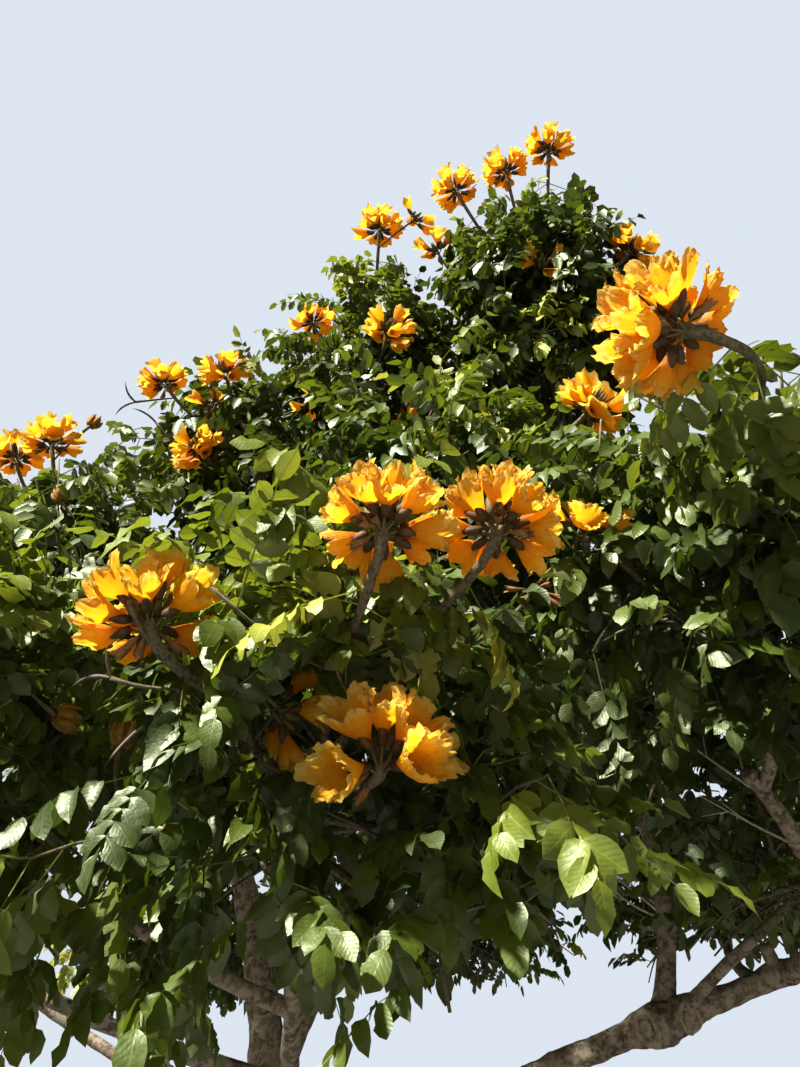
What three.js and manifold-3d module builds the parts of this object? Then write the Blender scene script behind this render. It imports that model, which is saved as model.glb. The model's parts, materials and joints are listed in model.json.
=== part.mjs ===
// An African tulip tree in flower, the golden-yellow form, rooted in level ground.
// Millimetres, +Z up. The origin is the middle of the flat cut under the trunk.
// A short leaning trunk carries seven leading limbs, and every mass of foliage has its own bough.
// The masses stand in four tiers. Flower heads rise above the leaves on bare stalks.
import * as THREE from "three";
import { mergeVertices } from "three/addons/utils/BufferGeometryUtils.js";
import Module from "manifold-3d";

const wasm = await Module();
wasm.setup();

// Trunk
const TRUNK_HEIGHT = 1350;
const TRUNK_TOP_RADIUS = 122;
const TRUNK_WAIST_RADIUS = 138;
const TRUNK_LEAN = 45;
const FLARE_RADIUS = 225;
const FLARE_HEIGHT = 250;
const FLARE_LOBES = 4;
const FLARE_LOBE_DEPTH = 0.16;

// Leading limbs: the share of the parent's length at which each leaves it, its bow point, its tip and
// its radii at root and tip
const LEADERS = [
  {
    name: "leader_left", from: "trunk", at: 1, radii: [122, 44],
    bow: [110, 0, 2150], tip: [-560, -40, 3450],
  },
  {
    name: "limb_right", from: "trunk", at: 0.93, radii: [96, 42],
    bow: [950, 60, 1900], tip: [2900, -860, 2470],
  },
  {
    name: "limb_back", from: "trunk", at: 0.88, radii: [76, 40],
    bow: [-180, 950, 1950], tip: [-260, 2000, 2800],
  },
  {
    name: "limb_front", from: "leader_left", at: 0.12, radii: [52, 32],
    bow: [210, -700, 1760], tip: [240, -1650, 2120],
  },
  {
    name: "leader_middle", from: "leader_left", at: 0.3, radii: [70, 36],
    bow: [540, -60, 2750], tip: [620, -520, 4450],
  },
  {
    name: "riser_right", from: "limb_right", at: 0.72, radii: [48, 30],
    bow: [2130, -440, 2800], tip: [1760, -600, 3500],
  },
  {
    name: "limb_front_right", from: "limb_right", at: 0.88, radii: [40, 28],
    bow: [2520, -1380, 2380], tip: [1900, -1900, 2780],
  },
];

// Tiers of foliage masses on rings. Crowding draws a ring's masses together on the viewer's side.
const TIERS = [
  {
    name: "skirt", count: 9, turn: -86, crowd: 20,
    middle: [150, 0], reach: 2650, height: 2560, half: [1160, 790],
  },
  {
    name: "shoulder", count: 6, turn: -75, crowd: 0,
    middle: [150, 0], reach: 1850, height: 3930, half: [1150, 930],
  },
  {
    name: "upper", count: 3, turn: -138, crowd: 0,
    middle: [330, -300], reach: 950, height: 4930, half: [1120, 930],
  },
  {
    name: "top", count: 3, turn: -52, crowd: 0,
    middle: [1000, -1130], reach: 700, height: 5600, half: [840, 830],
  },
];

// Swellings of a tier: how far round they act, and how they push its masses out and up
const SWELLINGS = [
  { tier: "skirt", turn: -59, width: 28, out: 340, up: 700 },
  { tier: "skirt", turn: -88, width: 60, out: 0, up: -210 },
  { tier: "skirt", turn: 80, width: 130, out: 0, up: 760 },
  { tier: "shoulder", turn: 90, width: 120, out: 0, up: 260 },
  { tier: "shoulder", turn: -135, width: 50, out: 0, up: -150 },
  { tier: "top", turn: -62, width: 60, out: 0, up: 190 },
];

// Boughs that carry the masses
const BOUGH_SHARES = [0.35, 0.45, 0.55, 0.65, 0.75, 0.85, 0.95];
const BOUGH_BENDS = [0.08, -0.08, 0.2, -0.2, 0.32, -0.32];
const BOUGH_RADIUS = 30;
const BOUGH_RADIUS_PER_LENGTH = 0.0055;
const BOUGH_SAG = 0.1;
const BOUGH_ENTRY = 0.5;
const BOUGH_SPACING_COST = 700;
const BOUGH_RISE = 0.45;
const BOUGH_SHORTEST = 900;

// Twigs and blades of foliage. A blade stands for a spray of leaves.
const STEM_RADII = [24, 18];
const STEM_SHIFTS = [0, 140, 260, 380];
const SHOOTS = 7;
const SHOOT_RADII = [15, 9];
const SHOOT_REACH = [0.42, 0.6];
const SHOOT_SPACING = 220;
const BLADES_ON_SHOOT = 2;
const BLADE_LENGTHS = [840, 700, 560];
const BLADE_WIDTH = 0.58;
const BLADE_DROOP = 0.17;
const BLADE_ROLL = 0.9;
const BLADE_THICKNESS = 10;
const BLADE_SHIFTS = [0, 0.8, -0.8, 1.6, -1.6];
const GOLDEN_ANGLE = 2.39996;

// Flower heads
const HEAD_RADIUS = 150;
const HEAD_PETALS = 6;
const STALK_RADIUS = 10;
const STALK_LENGTH = 300;
// Heads on the side that faces the viewer
const HEAD_PLACES = [
  [510, -3330, 2730], [790, -3230, 2820], [1100, -3640, 3060], [-80, -3020, 2640], [530, -2970, 2330],
  [1320, -2560, 4040], [1390, -2450, 6610], [1150, -2260, 6690], [820, -2220, 6490], [330, -2000, 6360],
  [1870, -2200, 5900], [-150, -1290, 6290], [430, -1970, 5300], [-950, -1520, 5300], [-500, -1760, 5120],
  [-640, -1480, 4770], [-1360, -1700, 4560], [-1760, -1350, 4770],
];

// Clearances
const SEAT_GAP = 0.35;
const SPACE_MARGIN = 12;
const LIMB_MARGIN = 14;
const GUARD_MARGIN = 5;

const BARK = new THREE.MeshStandardMaterial({ color: 0x8a7460, roughness: 0.9, metalness: 0 });
const FOLIAGE = new THREE.MeshStandardMaterial({ color: 0x3f5f1c, roughness: 0.6, metalness: 0 });
const UP = new THREE.Vector3(0, 0, 1);
const FRAME_AXIS = new THREE.Vector3(0.31, 0.95, -0.04).normalize();

const vec = (numbers) => new THREE.Vector3(...numbers);
const mix = (a, b, share) => a + (b - a) * share;

// A random number generator that is easy to repeat
function seeded(seed) {
  let state = seed;
  return () => {
    state = (state * 16807) % 2147483647;
    return state / 2147483647;
  };
}

// Solids

function solidOf(geometry) {
  geometry.deleteAttribute("normal");
  geometry.deleteAttribute("uv");
  const merged = mergeVertices(geometry, 1e-3);
  const mesh = new wasm.Mesh({
    numProp: 3,
    vertProperties: merged.attributes.position.array,
    triVerts: new Uint32Array(merged.index.array),
  });
  return new wasm.Manifold(mesh);
}

function geometryOf(solid) {
  const mesh = solid.getMesh();
  const geometry = new THREE.BufferGeometry();
  geometry.setAttribute("position", new THREE.BufferAttribute(mesh.vertProperties, 3));
  geometry.setIndex(new THREE.BufferAttribute(mesh.triVerts, 1));
  geometry.computeVertexNormals();
  return geometry;
}

// The largest body alone, so that scraps and sealed hollows go
function wholeBody(solid) {
  const bodies = solid.decompose();
  return bodies.reduce((best, body) => (body.volume() > best.volume() ? body : best));
}

function sideways(along, angle) {
  const aside = new THREE.Vector3().crossVectors(along, FRAME_AXIS).normalize();
  const across = new THREE.Vector3().crossVectors(along, aside);
  return aside.multiplyScalar(Math.cos(angle)).addScaledVector(across, Math.sin(angle));
}

// A prism bent along a curve, with the radius radiusAt(share, angle), and spare on all its faces
function bentPrism(curve, radiusAt, sides, steps, spare = 0) {
  const turns = Array.from({ length: sides }, (_, i) => (2 * Math.PI * i) / sides);
  const outline = new THREE.Shape(turns.map((turn) => new THREE.Vector2(Math.cos(turn), Math.sin(turn))));
  const geometry = new THREE.ExtrudeGeometry(outline, { depth: 1, steps, bevelEnabled: false });
  const position = geometry.attributes.position;
  for (let i = 0; i < position.count; i++) {
    const share = position.getZ(i);
    const angle = Math.atan2(position.getY(i), position.getX(i));
    const along = curve.getTangent(share);
    const point = curve.getPoint(share);
    point.addScaledVector(sideways(along, angle), radiusAt(share, angle) + spare);
    if (share === 0) point.addScaledVector(along, -spare);
    if (share === 1) point.addScaledVector(along, spare);
    position.setXYZ(i, point.x, point.y, point.z);
  }
  return solidOf(geometry);
}

function rod(a, b, radii, sides) {
  const curve = new THREE.LineCurve3(a, b);
  return bentPrism(curve, (share) => mix(...radii, share), sides, 1);
}

// Limbs

// A limb that goes on from its parent's tip starts straight on, a seat gap above it
function limbBetween(name, parent, at, bow, tip, radii, sides, steps) {
  const root = parent.curve.getPoint(at);
  const along = parent.curve.getTangent(at);
  if (at === 1) {
    bow = root.clone().addScaledVector(along, bow.distanceTo(root));
    root.addScaledVector(along, SEAT_GAP);
  }
  const curve = new THREE.QuadraticBezierCurve3(root, bow, tip);
  return { name, parent, at, curve, radii, sides, steps };
}

function radiusOn(limb, share) {
  return mix(...limb.radii, share);
}

function limbSolid(limb, spare) {
  return bentPrism(limb.curve, (share) => radiusOn(limb, share), limb.sides, limb.steps, spare);
}

function trunkLimb() {
  const middle = new THREE.Vector3(0, 0, TRUNK_HEIGHT / 2);
  const top = new THREE.Vector3(TRUNK_LEAN, 0, TRUNK_HEIGHT);
  const curve = new THREE.QuadraticBezierCurve3(new THREE.Vector3(), middle, top);
  return { name: "trunk", curve, radii: [TRUNK_WAIST_RADIUS, TRUNK_TOP_RADIUS] };
}

function trunkSolid(trunk, spare) {
  const radiusAt = (share, angle) => {
    const flare = Math.exp((-share * TRUNK_HEIGHT) / FLARE_HEIGHT);
    const lobes = 1 + FLARE_LOBE_DEPTH * flare * Math.cos(FLARE_LOBES * angle);
    return (radiusOn(trunk, share) + (FLARE_RADIUS - TRUNK_WAIST_RADIUS) * flare) * lobes;
  };
  return bentPrism(trunk.curve, radiusAt, 14, 7, spare).trimByPlane([0, 0, 1], 0);
}

function leadingLimbs() {
  const limbs = [trunkLimb()];
  for (const { name, from, at, bow, tip, radii } of LEADERS) {
    const parent = limbs.find((limb) => limb.name === from);
    limbs.push(limbBetween(name, parent, at, vec(bow), vec(tip), radii, 6, 5));
  }
  return limbs;
}

// Masses of foliage

function swellingShare(azimuth, swelling) {
  const apart = Math.abs(((azimuth - swelling.turn + 540) % 360) - 180);
  return Math.max(0, 1 - apart / swelling.width);
}

function massOnRing(tier, k) {
  const even = (360 * k) / tier.count;
  const azimuth = tier.turn + even - tier.crowd * Math.sin(THREE.MathUtils.degToRad(even));
  let reach = tier.reach;
  let height = tier.height;
  for (const swelling of SWELLINGS.filter((each) => each.tier === tier.name)) {
    reach += swelling.out * swellingShare(azimuth, swelling);
    height += swelling.up * swellingShare(azimuth, swelling);
  }
  const turn = THREE.MathUtils.degToRad(azimuth);
  const [x, y] = tier.middle;
  const [wide, tall] = tier.half;
  return {
    name: `${tier.name}_${k + 1}`,
    centre: new THREE.Vector3(x + reach * Math.cos(turn), y + reach * Math.sin(turn), height),
    half: new THREE.Vector3(wide, wide, tall),
    heads: [],
  };
}

function allMasses() {
  const masses = TIERS.flatMap((tier) =>
    Array.from({ length: tier.count }, (_, k) => massOnRing(tier, k)),
  );
  masses.forEach((mass, index) => {
    const others = masses.filter((other) => other !== mass);
    mass.index = index;
    mass.walls = others.flatMap((other) => wallBetween(mass, other));
  });
  return masses;
}

// How far an ellipsoid reaches one way
function reachOf(mass, way) {
  return 1 / way.clone().divide(mass.half).length();
}

// Two masses that would meet are parted by a plane, and each keeps to its own side of it
function wallBetween(mass, other) {
  const way = other.centre.clone().sub(mass.centre);
  const apart = way.length();
  way.normalize();
  const mine = reachOf(mass, way);
  const theirs = reachOf(other, way);
  if (mine + theirs < apart) return [];
  return [{ way, limit: (apart * mine) / (mine + theirs) - SPACE_MARGIN }];
}

function insideWalls(mass, point, spare) {
  const from = point.clone().sub(mass.centre);
  return mass.walls.every((wall) => from.dot(wall.way) <= wall.limit - spare);
}

function insideSpace(mass, point) {
  const share = point.clone().sub(mass.centre).divide(mass.half).length();
  return share <= 1 && insideWalls(mass, point, 0);
}

// Draws a point towards the middle of the mass until it is inside the walls with room to spare
function drawnInside(mass, point, spare) {
  for (let share = 1; share > 0; share -= 0.05) {
    const inner = mass.centre.clone().lerp(point, share);
    if (insideWalls(mass, inner, spare)) return inner;
  }
  return mass.centre.clone();
}

// Obstacles: chains of round points that foliage keeps clear of

function chainOf(limb, count) {
  const chain = Array.from({ length: count + 1 }, (_, i) => ({
    point: limb.curve.getPoint(i / count),
    radius: radiusOn(limb, i / count),
  }));
  return Object.assign(chain, { limb });
}

function gapToLink(point, a, b) {
  const along = b.point.clone().sub(a.point);
  const reach = Math.max(along.lengthSq(), 1e-6);
  const share = THREE.MathUtils.clamp(point.clone().sub(a.point).dot(along) / reach, 0, 1);
  const nearest = a.point.clone().addScaledVector(along, share);
  return point.distanceTo(nearest) - mix(a.radius, b.radius, share);
}

function gapToChain(point, chain) {
  let gap = point.distanceTo(chain[0].point) - chain[0].radius;
  for (let i = 1; i < chain.length; i++) gap = Math.min(gap, gapToLink(point, chain[i - 1], chain[i]));
  return gap;
}

function isClear(point, radius, chains) {
  return chains.every((chain) => gapToChain(point, chain) > radius + LIMB_MARGIN);
}

function lineIsClear(a, b, radius, chains) {
  const steps = Math.ceil(a.distanceTo(b) / 40);
  for (let i = 0; i <= steps; i++) {
    if (!isClear(a.clone().lerp(b, i / steps), radius, chains)) return false;
  }
  return true;
}

// Boughs

// A bough's root: near the mass, well below it, and apart from other roots on the same limb
function boughRoot(mass, leaders, taken) {
  let best = { cost: Infinity };
  for (const parent of leaders.filter((limb) => limb.name !== "trunk")) {
    for (const at of BOUGH_SHARES) {
      const way = mass.centre.clone().sub(parent.curve.getPoint(at));
      const tooFlat = Math.max(0, BOUGH_RISE * Math.hypot(way.x, way.y) - way.z);
      const crowded = taken.filter((root) => root.parent === parent && Math.abs(root.at - at) < 0.09).length;
      const tooShort = Math.max(0, BOUGH_SHORTEST - way.length());
      const cost = way.length() + tooFlat + 3 * tooShort + BOUGH_SPACING_COST * crowded;
      if (cost < best.cost) best = { cost, parent, at, way };
    }
  }
  taken.push(best);
  return best;
}

function smallestGap(limb, chains) {
  let gap = Infinity;
  for (let share = 0.25; share <= 1; share += 0.05) {
    const point = limb.curve.getPoint(share);
    for (const chain of chains) gap = Math.min(gap, gapToChain(point, chain) - radiusOn(limb, share));
  }
  return gap;
}

// Of several bows to either side, the one that keeps furthest from the other limbs
function boughFor(mass, leaders, taken, chains) {
  const { parent, at, way } = boughRoot(mass, leaders, taken);
  const root = parent.curve.getPoint(at);
  const inward = way.clone().normalize().multiplyScalar(-1);
  const edge = mass.centre.clone().addScaledVector(inward, BOUGH_ENTRY * reachOf(mass, inward));
  const entry = drawnInside(mass, edge, 60);
  const length = root.distanceTo(entry);
  const thick = Math.min(0.8 * radiusOn(parent, at), BOUGH_RADIUS + BOUGH_RADIUS_PER_LENGTH * length);
  const choices = BOUGH_BENDS.map((bend) => {
    const bow = root.clone().lerp(entry, 0.5);
    bow.x += bend * (root.y - entry.y);
    bow.y += bend * (entry.x - root.x);
    bow.z -= BOUGH_SAG * length;
    return limbBetween(`bough_${mass.name}`, parent, at, bow, entry, [thick, STEM_RADII[0]], 5, 3);
  });
  const gaps = choices.map((limb) => Math.min(60, smallestGap(limb, chains)));
  return choices[gaps.indexOf(Math.max(...gaps))];
}

// Blades

// Six corners: root, tip, two drooping sides, and the ridge over the keel
function bladeCorners(root, way, roll, length) {
  const aside = new THREE.Vector3().crossVectors(way, UP).normalize().applyAxisAngle(way, roll);
  const upper = new THREE.Vector3().crossVectors(aside, way).normalize();
  const droop = BLADE_DROOP * length;
  const half = (BLADE_WIDTH * length) / 2;
  const at = (along, across, above) => {
    const corner = root.clone().addScaledVector(way, along);
    return corner.addScaledVector(aside, across).addScaledVector(upper, above);
  };
  return {
    root,
    tip: at(length, 0, -droop),
    left: at(0.45 * length, -half, -0.4 * droop),
    right: at(0.45 * length, half, -0.4 * droop),
    ridge: at(0.42 * length, 0, 0.3 * droop + BLADE_THICKNESS),
    keel: at(0.42 * length, 0, 0.3 * droop),
  };
}

// An octahedron whose corners are moved to those of the blade
function bladeSolid(corners) {
  const geometry = new THREE.OctahedronGeometry(1);
  const position = geometry.attributes.position;
  for (let i = 0; i < position.count; i++) {
    const [x, y, z] = [position.getX(i), position.getY(i), position.getZ(i)];
    let corner = z > 0.5 ? corners.ridge : corners.keel;
    if (x > 0.5) corner = corners.tip;
    if (x < -0.5) corner = corners.root;
    if (y > 0.5) corner = corners.left;
    if (y < -0.5) corner = corners.right;
    position.setXYZ(i, corner.x, corner.y, corner.z);
  }
  return solidOf(geometry);
}

function bladeFits(mass, corners, chains) {
  const outer = [corners.tip, corners.left, corners.right, corners.ridge];
  if (!outer.every((corner) => insideSpace(mass, corner))) return false;
  const between = outer.slice(0, 3).map((corner) => corner.clone().lerp(corners.ridge, 0.5));
  return [...outer, ...between].every((corner) => isClear(corner, 0, chains));
}

// Shoots

// Even ways out from the middle of a mass, however many of them are taken
function evenWay(index) {
  const turn = 2 * Math.PI * ((0.5 + 0.7548776662 * (index + 1)) % 1);
  const rise = 1 - 2 * ((0.5 + 0.569840291 * (index + 1)) % 1);
  const flat = Math.sqrt(1 - rise * rise);
  return new THREE.Vector3(flat * Math.cos(turn), flat * Math.sin(turn), rise);
}

function shootTip(mass, index) {
  const draw = seeded(7919 * (mass.index + 1) + 104729 * (index + 1));
  const way = evenWay(index).multiply(mass.half).multiplyScalar(mix(...SHOOT_REACH, draw()));
  return drawnInside(mass, mass.centre.clone().add(way), 0.3 * BLADE_LENGTHS[0]);
}

// A head's shoot ends one bare stalk short of the head, inside its own mass
function headShootTip(mass, head) {
  const way = head.clone().sub(mass.centre);
  const room = 0.8 * reachOf(mass, way.clone().normalize());
  const length = Math.min(room, way.length() - STALK_LENGTH);
  return drawnInside(mass, mass.centre.clone().add(way.setLength(length)), 40);
}

// The stem goes straight on from its bough, then to the middle of the mass or past any limb there
function stemCurve(mass, bough, chains) {
  const along = bough.curve.getTangent(1);
  const start = bough.curve.getPoint(1).addScaledVector(along, SEAT_GAP);
  const reach = start.distanceTo(mass.centre);
  const bow = start.clone().addScaledVector(along, 0.35 * reach);
  const hub = start.clone().lerp(mass.centre, 0.85);
  const ends = STEM_SHIFTS.flatMap((shift) =>
    [0, 1, 2, 3, 4, 5].map((turn) => hub.clone().addScaledVector(sideways(along, turn), shift)),
  );
  const curves = ends.map((end) => new THREE.QuadraticBezierCurve3(start, bow, end));
  const clear = (curve) => curve.getPoints(6).every((point) => isClear(point, STEM_RADII[0], chains));
  return curves.find(clear) ?? curves[0];
}

// The shoots that end under the heads, then shoots spread evenly through the rest of the mass
function shootsOf(mass, stem, chains) {
  const shoots = [];
  const tips = mass.heads.map((head) => headShootTip(mass, head));
  const wanted = SHOOTS + Math.floor(mass.heads.length / 2);
  for (let i = 0; tips.length < wanted; i++) tips.push(shootTip(mass, i));
  tips.forEach((tip, index) => {
    const draw = seeded(6841 * (mass.index + 1) + 15485 * (index + 1));
    const root = stem.getPoint(mix(0.5, 1, draw()));
    const turn = 2 * Math.PI * draw();
    const head = mass.heads[index];
    const apart = shoots.every((shoot) => shoot.tip.distanceTo(tip) > SHOOT_SPACING);
    if (!(head || apart) || !lineIsClear(root, tip, SHOOT_RADII[0], chains)) return;
    shoots.push({ root, tip, along: tip.clone().sub(root).normalize(), turn, head });
  });
  return shoots;
}

// The ways in which a blade can leave its shoot, the wanted one first
function bladeWays(shoot, n) {
  const last = n === BLADES_ON_SHOOT;
  return BLADE_SHIFTS.map((shift) => {
    const side = sideways(shoot.along, shoot.turn + n * GOLDEN_ANGLE + shift);
    const way = shoot.along.clone().multiplyScalar(last ? 1 : 0.4);
    return way.addScaledVector(side, last ? 0.25 + 0.2 * Math.abs(shift) : 1).normalize();
  });
}

// Each blade takes the longest size and the first way that fit. One that never fits is skipped.
function bladesOn(mass, shoot, others, chains) {
  const blades = [];
  for (let n = 0; n <= BLADES_ON_SHOOT; n++) {
    const share = n === BLADES_ON_SHOOT ? 0.99 : 0.5 + 0.26 * n;
    const root = shoot.root.clone().lerp(shoot.tip, share);
    const ways = bladeWays(shoot, n);
    const roll = BLADE_ROLL * Math.sin(7 * shoot.turn + 3 * n);
    const tries = BLADE_LENGTHS.flatMap((length) => ways.map((way) => bladeCorners(root, way, roll, length)));
    for (const corners of tries.filter((each) => bladeFits(mass, each, chains))) {
      const solid = bladeSolid(corners);
      if ([...others, ...blades].every((other) => solid.intersect(other).isEmpty())) {
        blades.push(solid);
        break;
      }
    }
  }
  return blades;
}

// Flower heads

// A shallow cup of petals: every second corner of the rim is drawn in
function headSolid(centre, upright) {
  const profile = [[0, -0.5], [1, 0.2], [0, 0.25]].map(([r, h]) => new THREE.Vector2(r, h));
  const geometry = new THREE.LatheGeometry(profile, 2 * HEAD_PETALS);
  const position = geometry.attributes.position;
  const turn = new THREE.Quaternion().setFromUnitVectors(new THREE.Vector3(0, 1, 0), upright);
  for (let i = 0; i < position.count; i++) {
    const point = new THREE.Vector3().fromBufferAttribute(position, i);
    const corner = Math.round((Math.atan2(point.z, point.x) * HEAD_PETALS) / Math.PI);
    const onRim = Math.hypot(point.x, point.z) > 0.9;
    if (onRim && corner % 2 !== 0) point.multiplyScalar(0.62);
    point.multiplyScalar(HEAD_RADIUS).applyQuaternion(turn).add(centre);
    position.setXYZ(i, point.x, point.y, point.z);
  }
  return solidOf(geometry);
}

function headOnStalk(root, head) {
  const upright = head.clone().sub(root).normalize().addScaledVector(UP, 0.5).normalize();
  return [rod(root, head, [STALK_RADIUS, STALK_RADIUS], 3), headSolid(head, upright)];
}

// The head as an obstacle, with its stalk except in its own mass
function headChains(mass, viewer) {
  return mass.heads.map((head) => {
    const ball = { point: head, radius: HEAD_RADIUS };
    const root = { point: headShootTip(mass, head), radius: STALK_RADIUS };
    return viewer === mass ? [ball] : [ball, { point: head, radius: STALK_RADIUS }, root];
  });
}

// Gives the seen heads to the nearest masses, then one head to every mass that has none
function shareHeads(masses) {
  for (const head of HEAD_PLACES.map(vec)) {
    const gap = (mass) => {
      const way = head.clone().sub(mass.centre);
      return way.length() - reachOf(mass, way.clone().normalize());
    };
    masses.reduce((a, b) => (gap(b) < gap(a) ? b : a)).heads.push(head);
  }
  for (const mass of masses.filter((each) => each.heads.length === 0)) {
    const out = new THREE.Vector3(mass.centre.x, mass.centre.y, 0).normalize();
    const way = out.addScaledVector(UP, 1.3).normalize();
    const head = mass.centre.clone().addScaledVector(way, reachOf(mass, way) + 0.6 * HEAD_RADIUS);
    if (masses.every((other) => other === mass || !insideSpace(other, head))) mass.heads.push(head);
  }
}

// A mass of foliage: one stem, its shoots, their blades and the heads on their stalks
function massSolid(mass, bough, masses, limbChains, guards) {
  const stem = stemCurve(mass, bough, limbChains.filter((chain) => chain.limb !== bough));
  const stemSolid = bentPrism(stem, (share) => mix(...STEM_RADII, share), 5, 3);
  const chains = [...limbChains, ...masses.flatMap((other) => headChains(other, mass))];
  const shoots = shootsOf(mass, stem, limbChains);
  const rods = shoots.map((shoot) => rod(shoot.root, shoot.tip, SHOOT_RADII, 3));
  const heads = shoots.filter((shoot) => shoot.head).flatMap((shoot) => headOnStalk(shoot.tip, shoot.head));
  const blades = [];
  shoots.forEach((shoot, index) => {
    const others = [stemSolid, ...guards, ...rods.filter((_, i) => i !== index), ...blades];
    blades.push(...bladesOn(mass, shoot, others, chains));
  });
  return wholeBody(wasm.Manifold.union([stemSolid, ...rods, ...blades, ...heads]));
}

// The tree

const tree = new THREE.Group();

function addNode(name, solid, material) {
  const mesh = new THREE.Mesh(geometryOf(solid), material);
  mesh.name = name;
  tree.add(mesh);
}

const leaders = leadingLimbs();
const masses = allMasses();
shareHeads(masses);

const chains = leaders.map((limb) => chainOf(limb, 12));
const limbs = [...leaders];
const roots = [];
for (const mass of masses) {
  const bough = boughFor(mass, leaders, roots, chains);
  chains.push(chainOf(bough, 12));
  limbs.push(bough);
}

// Each limb is seated on the limbs made before it, and cut back by the seat gap
const seats = [];
for (const limb of limbs) {
  const make = limb.name === "trunk" ? trunkSolid : limbSolid;
  const cutters = seats.filter((seat) => !(limb.at === 1 && seat.limb === limb.parent));
  const solid = cutters.reduce((rest, seat) => rest.subtract(seat.solid), make(limb, 0));
  addNode(limb.name, wholeBody(solid), BARK);
  seats.push({ limb, solid: make(limb, SEAT_GAP) });
}

const guards = limbs.slice(1).map((limb) => limbSolid(limb, GUARD_MARGIN));
masses.forEach((mass, index) => {
  const bough = limbs[leaders.length + index];
  addNode(`foliage_${mass.name}`, massSolid(mass, bough, masses, chains, guards), FOLIAGE);
});

export default tree;
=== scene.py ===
# %% [markdown]
# # An African tulip tree in golden flower
#
# The tree stands about 6.8 m tall on a short leaning trunk. Seven leading limbs carry boughs, each
# bough carries one rounded mass of twigs, and every twig ends in whorls of feathery leaves. Heads of
# golden-orange flowers stand out of the leaves on thick stalks.
#
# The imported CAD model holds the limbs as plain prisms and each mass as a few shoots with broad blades.
# This lesson loads it as a fixed frame and grows the real surfaces over it: bark with relief, fine
# twigs, thousands of leaves and crinkled flowers. All sizes are in metres, with +Z up.

import json
import math

import bpy
import numpy as np
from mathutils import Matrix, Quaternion, Vector, noise

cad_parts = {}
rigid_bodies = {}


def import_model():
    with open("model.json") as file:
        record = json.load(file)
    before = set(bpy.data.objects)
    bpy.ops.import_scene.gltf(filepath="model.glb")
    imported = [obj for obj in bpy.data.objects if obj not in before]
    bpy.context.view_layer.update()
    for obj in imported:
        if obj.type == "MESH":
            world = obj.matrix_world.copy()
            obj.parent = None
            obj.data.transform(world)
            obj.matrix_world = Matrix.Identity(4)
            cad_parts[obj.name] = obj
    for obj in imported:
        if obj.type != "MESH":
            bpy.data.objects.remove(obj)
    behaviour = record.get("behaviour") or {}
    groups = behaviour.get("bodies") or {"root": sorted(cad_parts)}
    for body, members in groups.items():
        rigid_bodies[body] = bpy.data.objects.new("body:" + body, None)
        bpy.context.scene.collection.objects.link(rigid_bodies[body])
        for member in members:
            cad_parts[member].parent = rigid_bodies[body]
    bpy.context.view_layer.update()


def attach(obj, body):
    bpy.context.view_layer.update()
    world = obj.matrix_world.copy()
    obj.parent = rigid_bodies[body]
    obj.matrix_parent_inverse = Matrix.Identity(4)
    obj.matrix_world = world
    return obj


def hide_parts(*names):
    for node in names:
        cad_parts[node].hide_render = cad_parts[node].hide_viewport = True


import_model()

# %% [markdown]
# ## The camera
#
# The picture was taken from eye height close under the crown, looking up by 39 degrees. A wide lens of
# 26 mm gives the same strong perspective. The small roll makes upright lines lean to the right.

# %% Camera
CAMERA_PLACE = (0.55, -4.7, 1.6)
CAMERA_PITCH = math.radians(39)
CAMERA_ROLL = math.radians(2.4)
CAMERA_LENS_MM = 26.0
CAMERA_SENSOR_MM = 36.0

camera_data = bpy.data.cameras.new("camera")
camera_data.lens = CAMERA_LENS_MM
camera_data.sensor_width = CAMERA_SENSOR_MM
camera_data.clip_start = 0.05
camera_data.clip_end = 200.0
camera = bpy.data.objects.new("camera", camera_data)
camera.location = CAMERA_PLACE
camera.rotation_mode = "QUATERNION"
pitched = Quaternion((1, 0, 0), math.radians(90) + CAMERA_PITCH)
camera.rotation_quaternion = pitched @ Quaternion((0, 0, 1), CAMERA_ROLL)
bpy.context.scene.collection.objects.link(camera)
bpy.context.scene.camera = camera
print("camera looks up by", round(math.degrees(CAMERA_PITCH)), "degrees")

# %% [markdown]
# ## Small helpers for node trees
#
# The studio and every finish are small trees of shader nodes. A few helpers keep the recipes short. The
# first adds a node and fills its inputs. The next ones do this for a calculation, a range, a noise and a
# mix of two colours, and hand on what the node puts out. The last ones start, close and place a node
# group, which is one effect with named inputs and outputs.


# %% Node helpers
FLOAT = "NodeSocketFloat"
COLOUR = "NodeSocketColor"


def add_node(tree, kind, settings=None, **inputs):
    """Adds a node. An input is a value, or the output socket that feeds it."""
    node = tree.nodes.new(kind)
    for name, value in (settings or {}).items():
        setattr(node, name, value)
    for name, value in inputs.items():
        socket = node.inputs[int(name[1:])] if name[1:].isdigit() else node.inputs[name.replace("_", " ")]
        if isinstance(value, bpy.types.NodeSocket):
            tree.links.new(value, socket)
        else:
            socket.default_value = value
    return node


def maths(tree, operation, *values):
    """A calculation with numbers or sockets."""
    numbered = {f"_{place}": value for place, value in enumerate(values)}
    return add_node(tree, "ShaderNodeMath", {"operation": operation}, **numbered).outputs[0]


def ranged(tree, value, low, high):
    """Where a value stands between low and high, as a share from 0 to 1."""
    return add_node(tree, "ShaderNodeMapRange", Value=value, From_Min=low, From_Max=high).outputs[0]


def clouds(tree, place, scale, detail, roughness=0.5, **settings):
    """Noise in space."""
    return add_node(
        tree, "ShaderNodeTexNoise", settings, Vector=place, Scale=scale, Detail=detail, Roughness=roughness
    ).outputs["Fac"]


def blend(tree, share, first, second):
    """Mixes two colours by a share."""
    return add_node(
        tree, "ShaderNodeMix", {"data_type": "RGBA"}, _0=share, _6=first, _7=second
    ).outputs[2]


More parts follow.
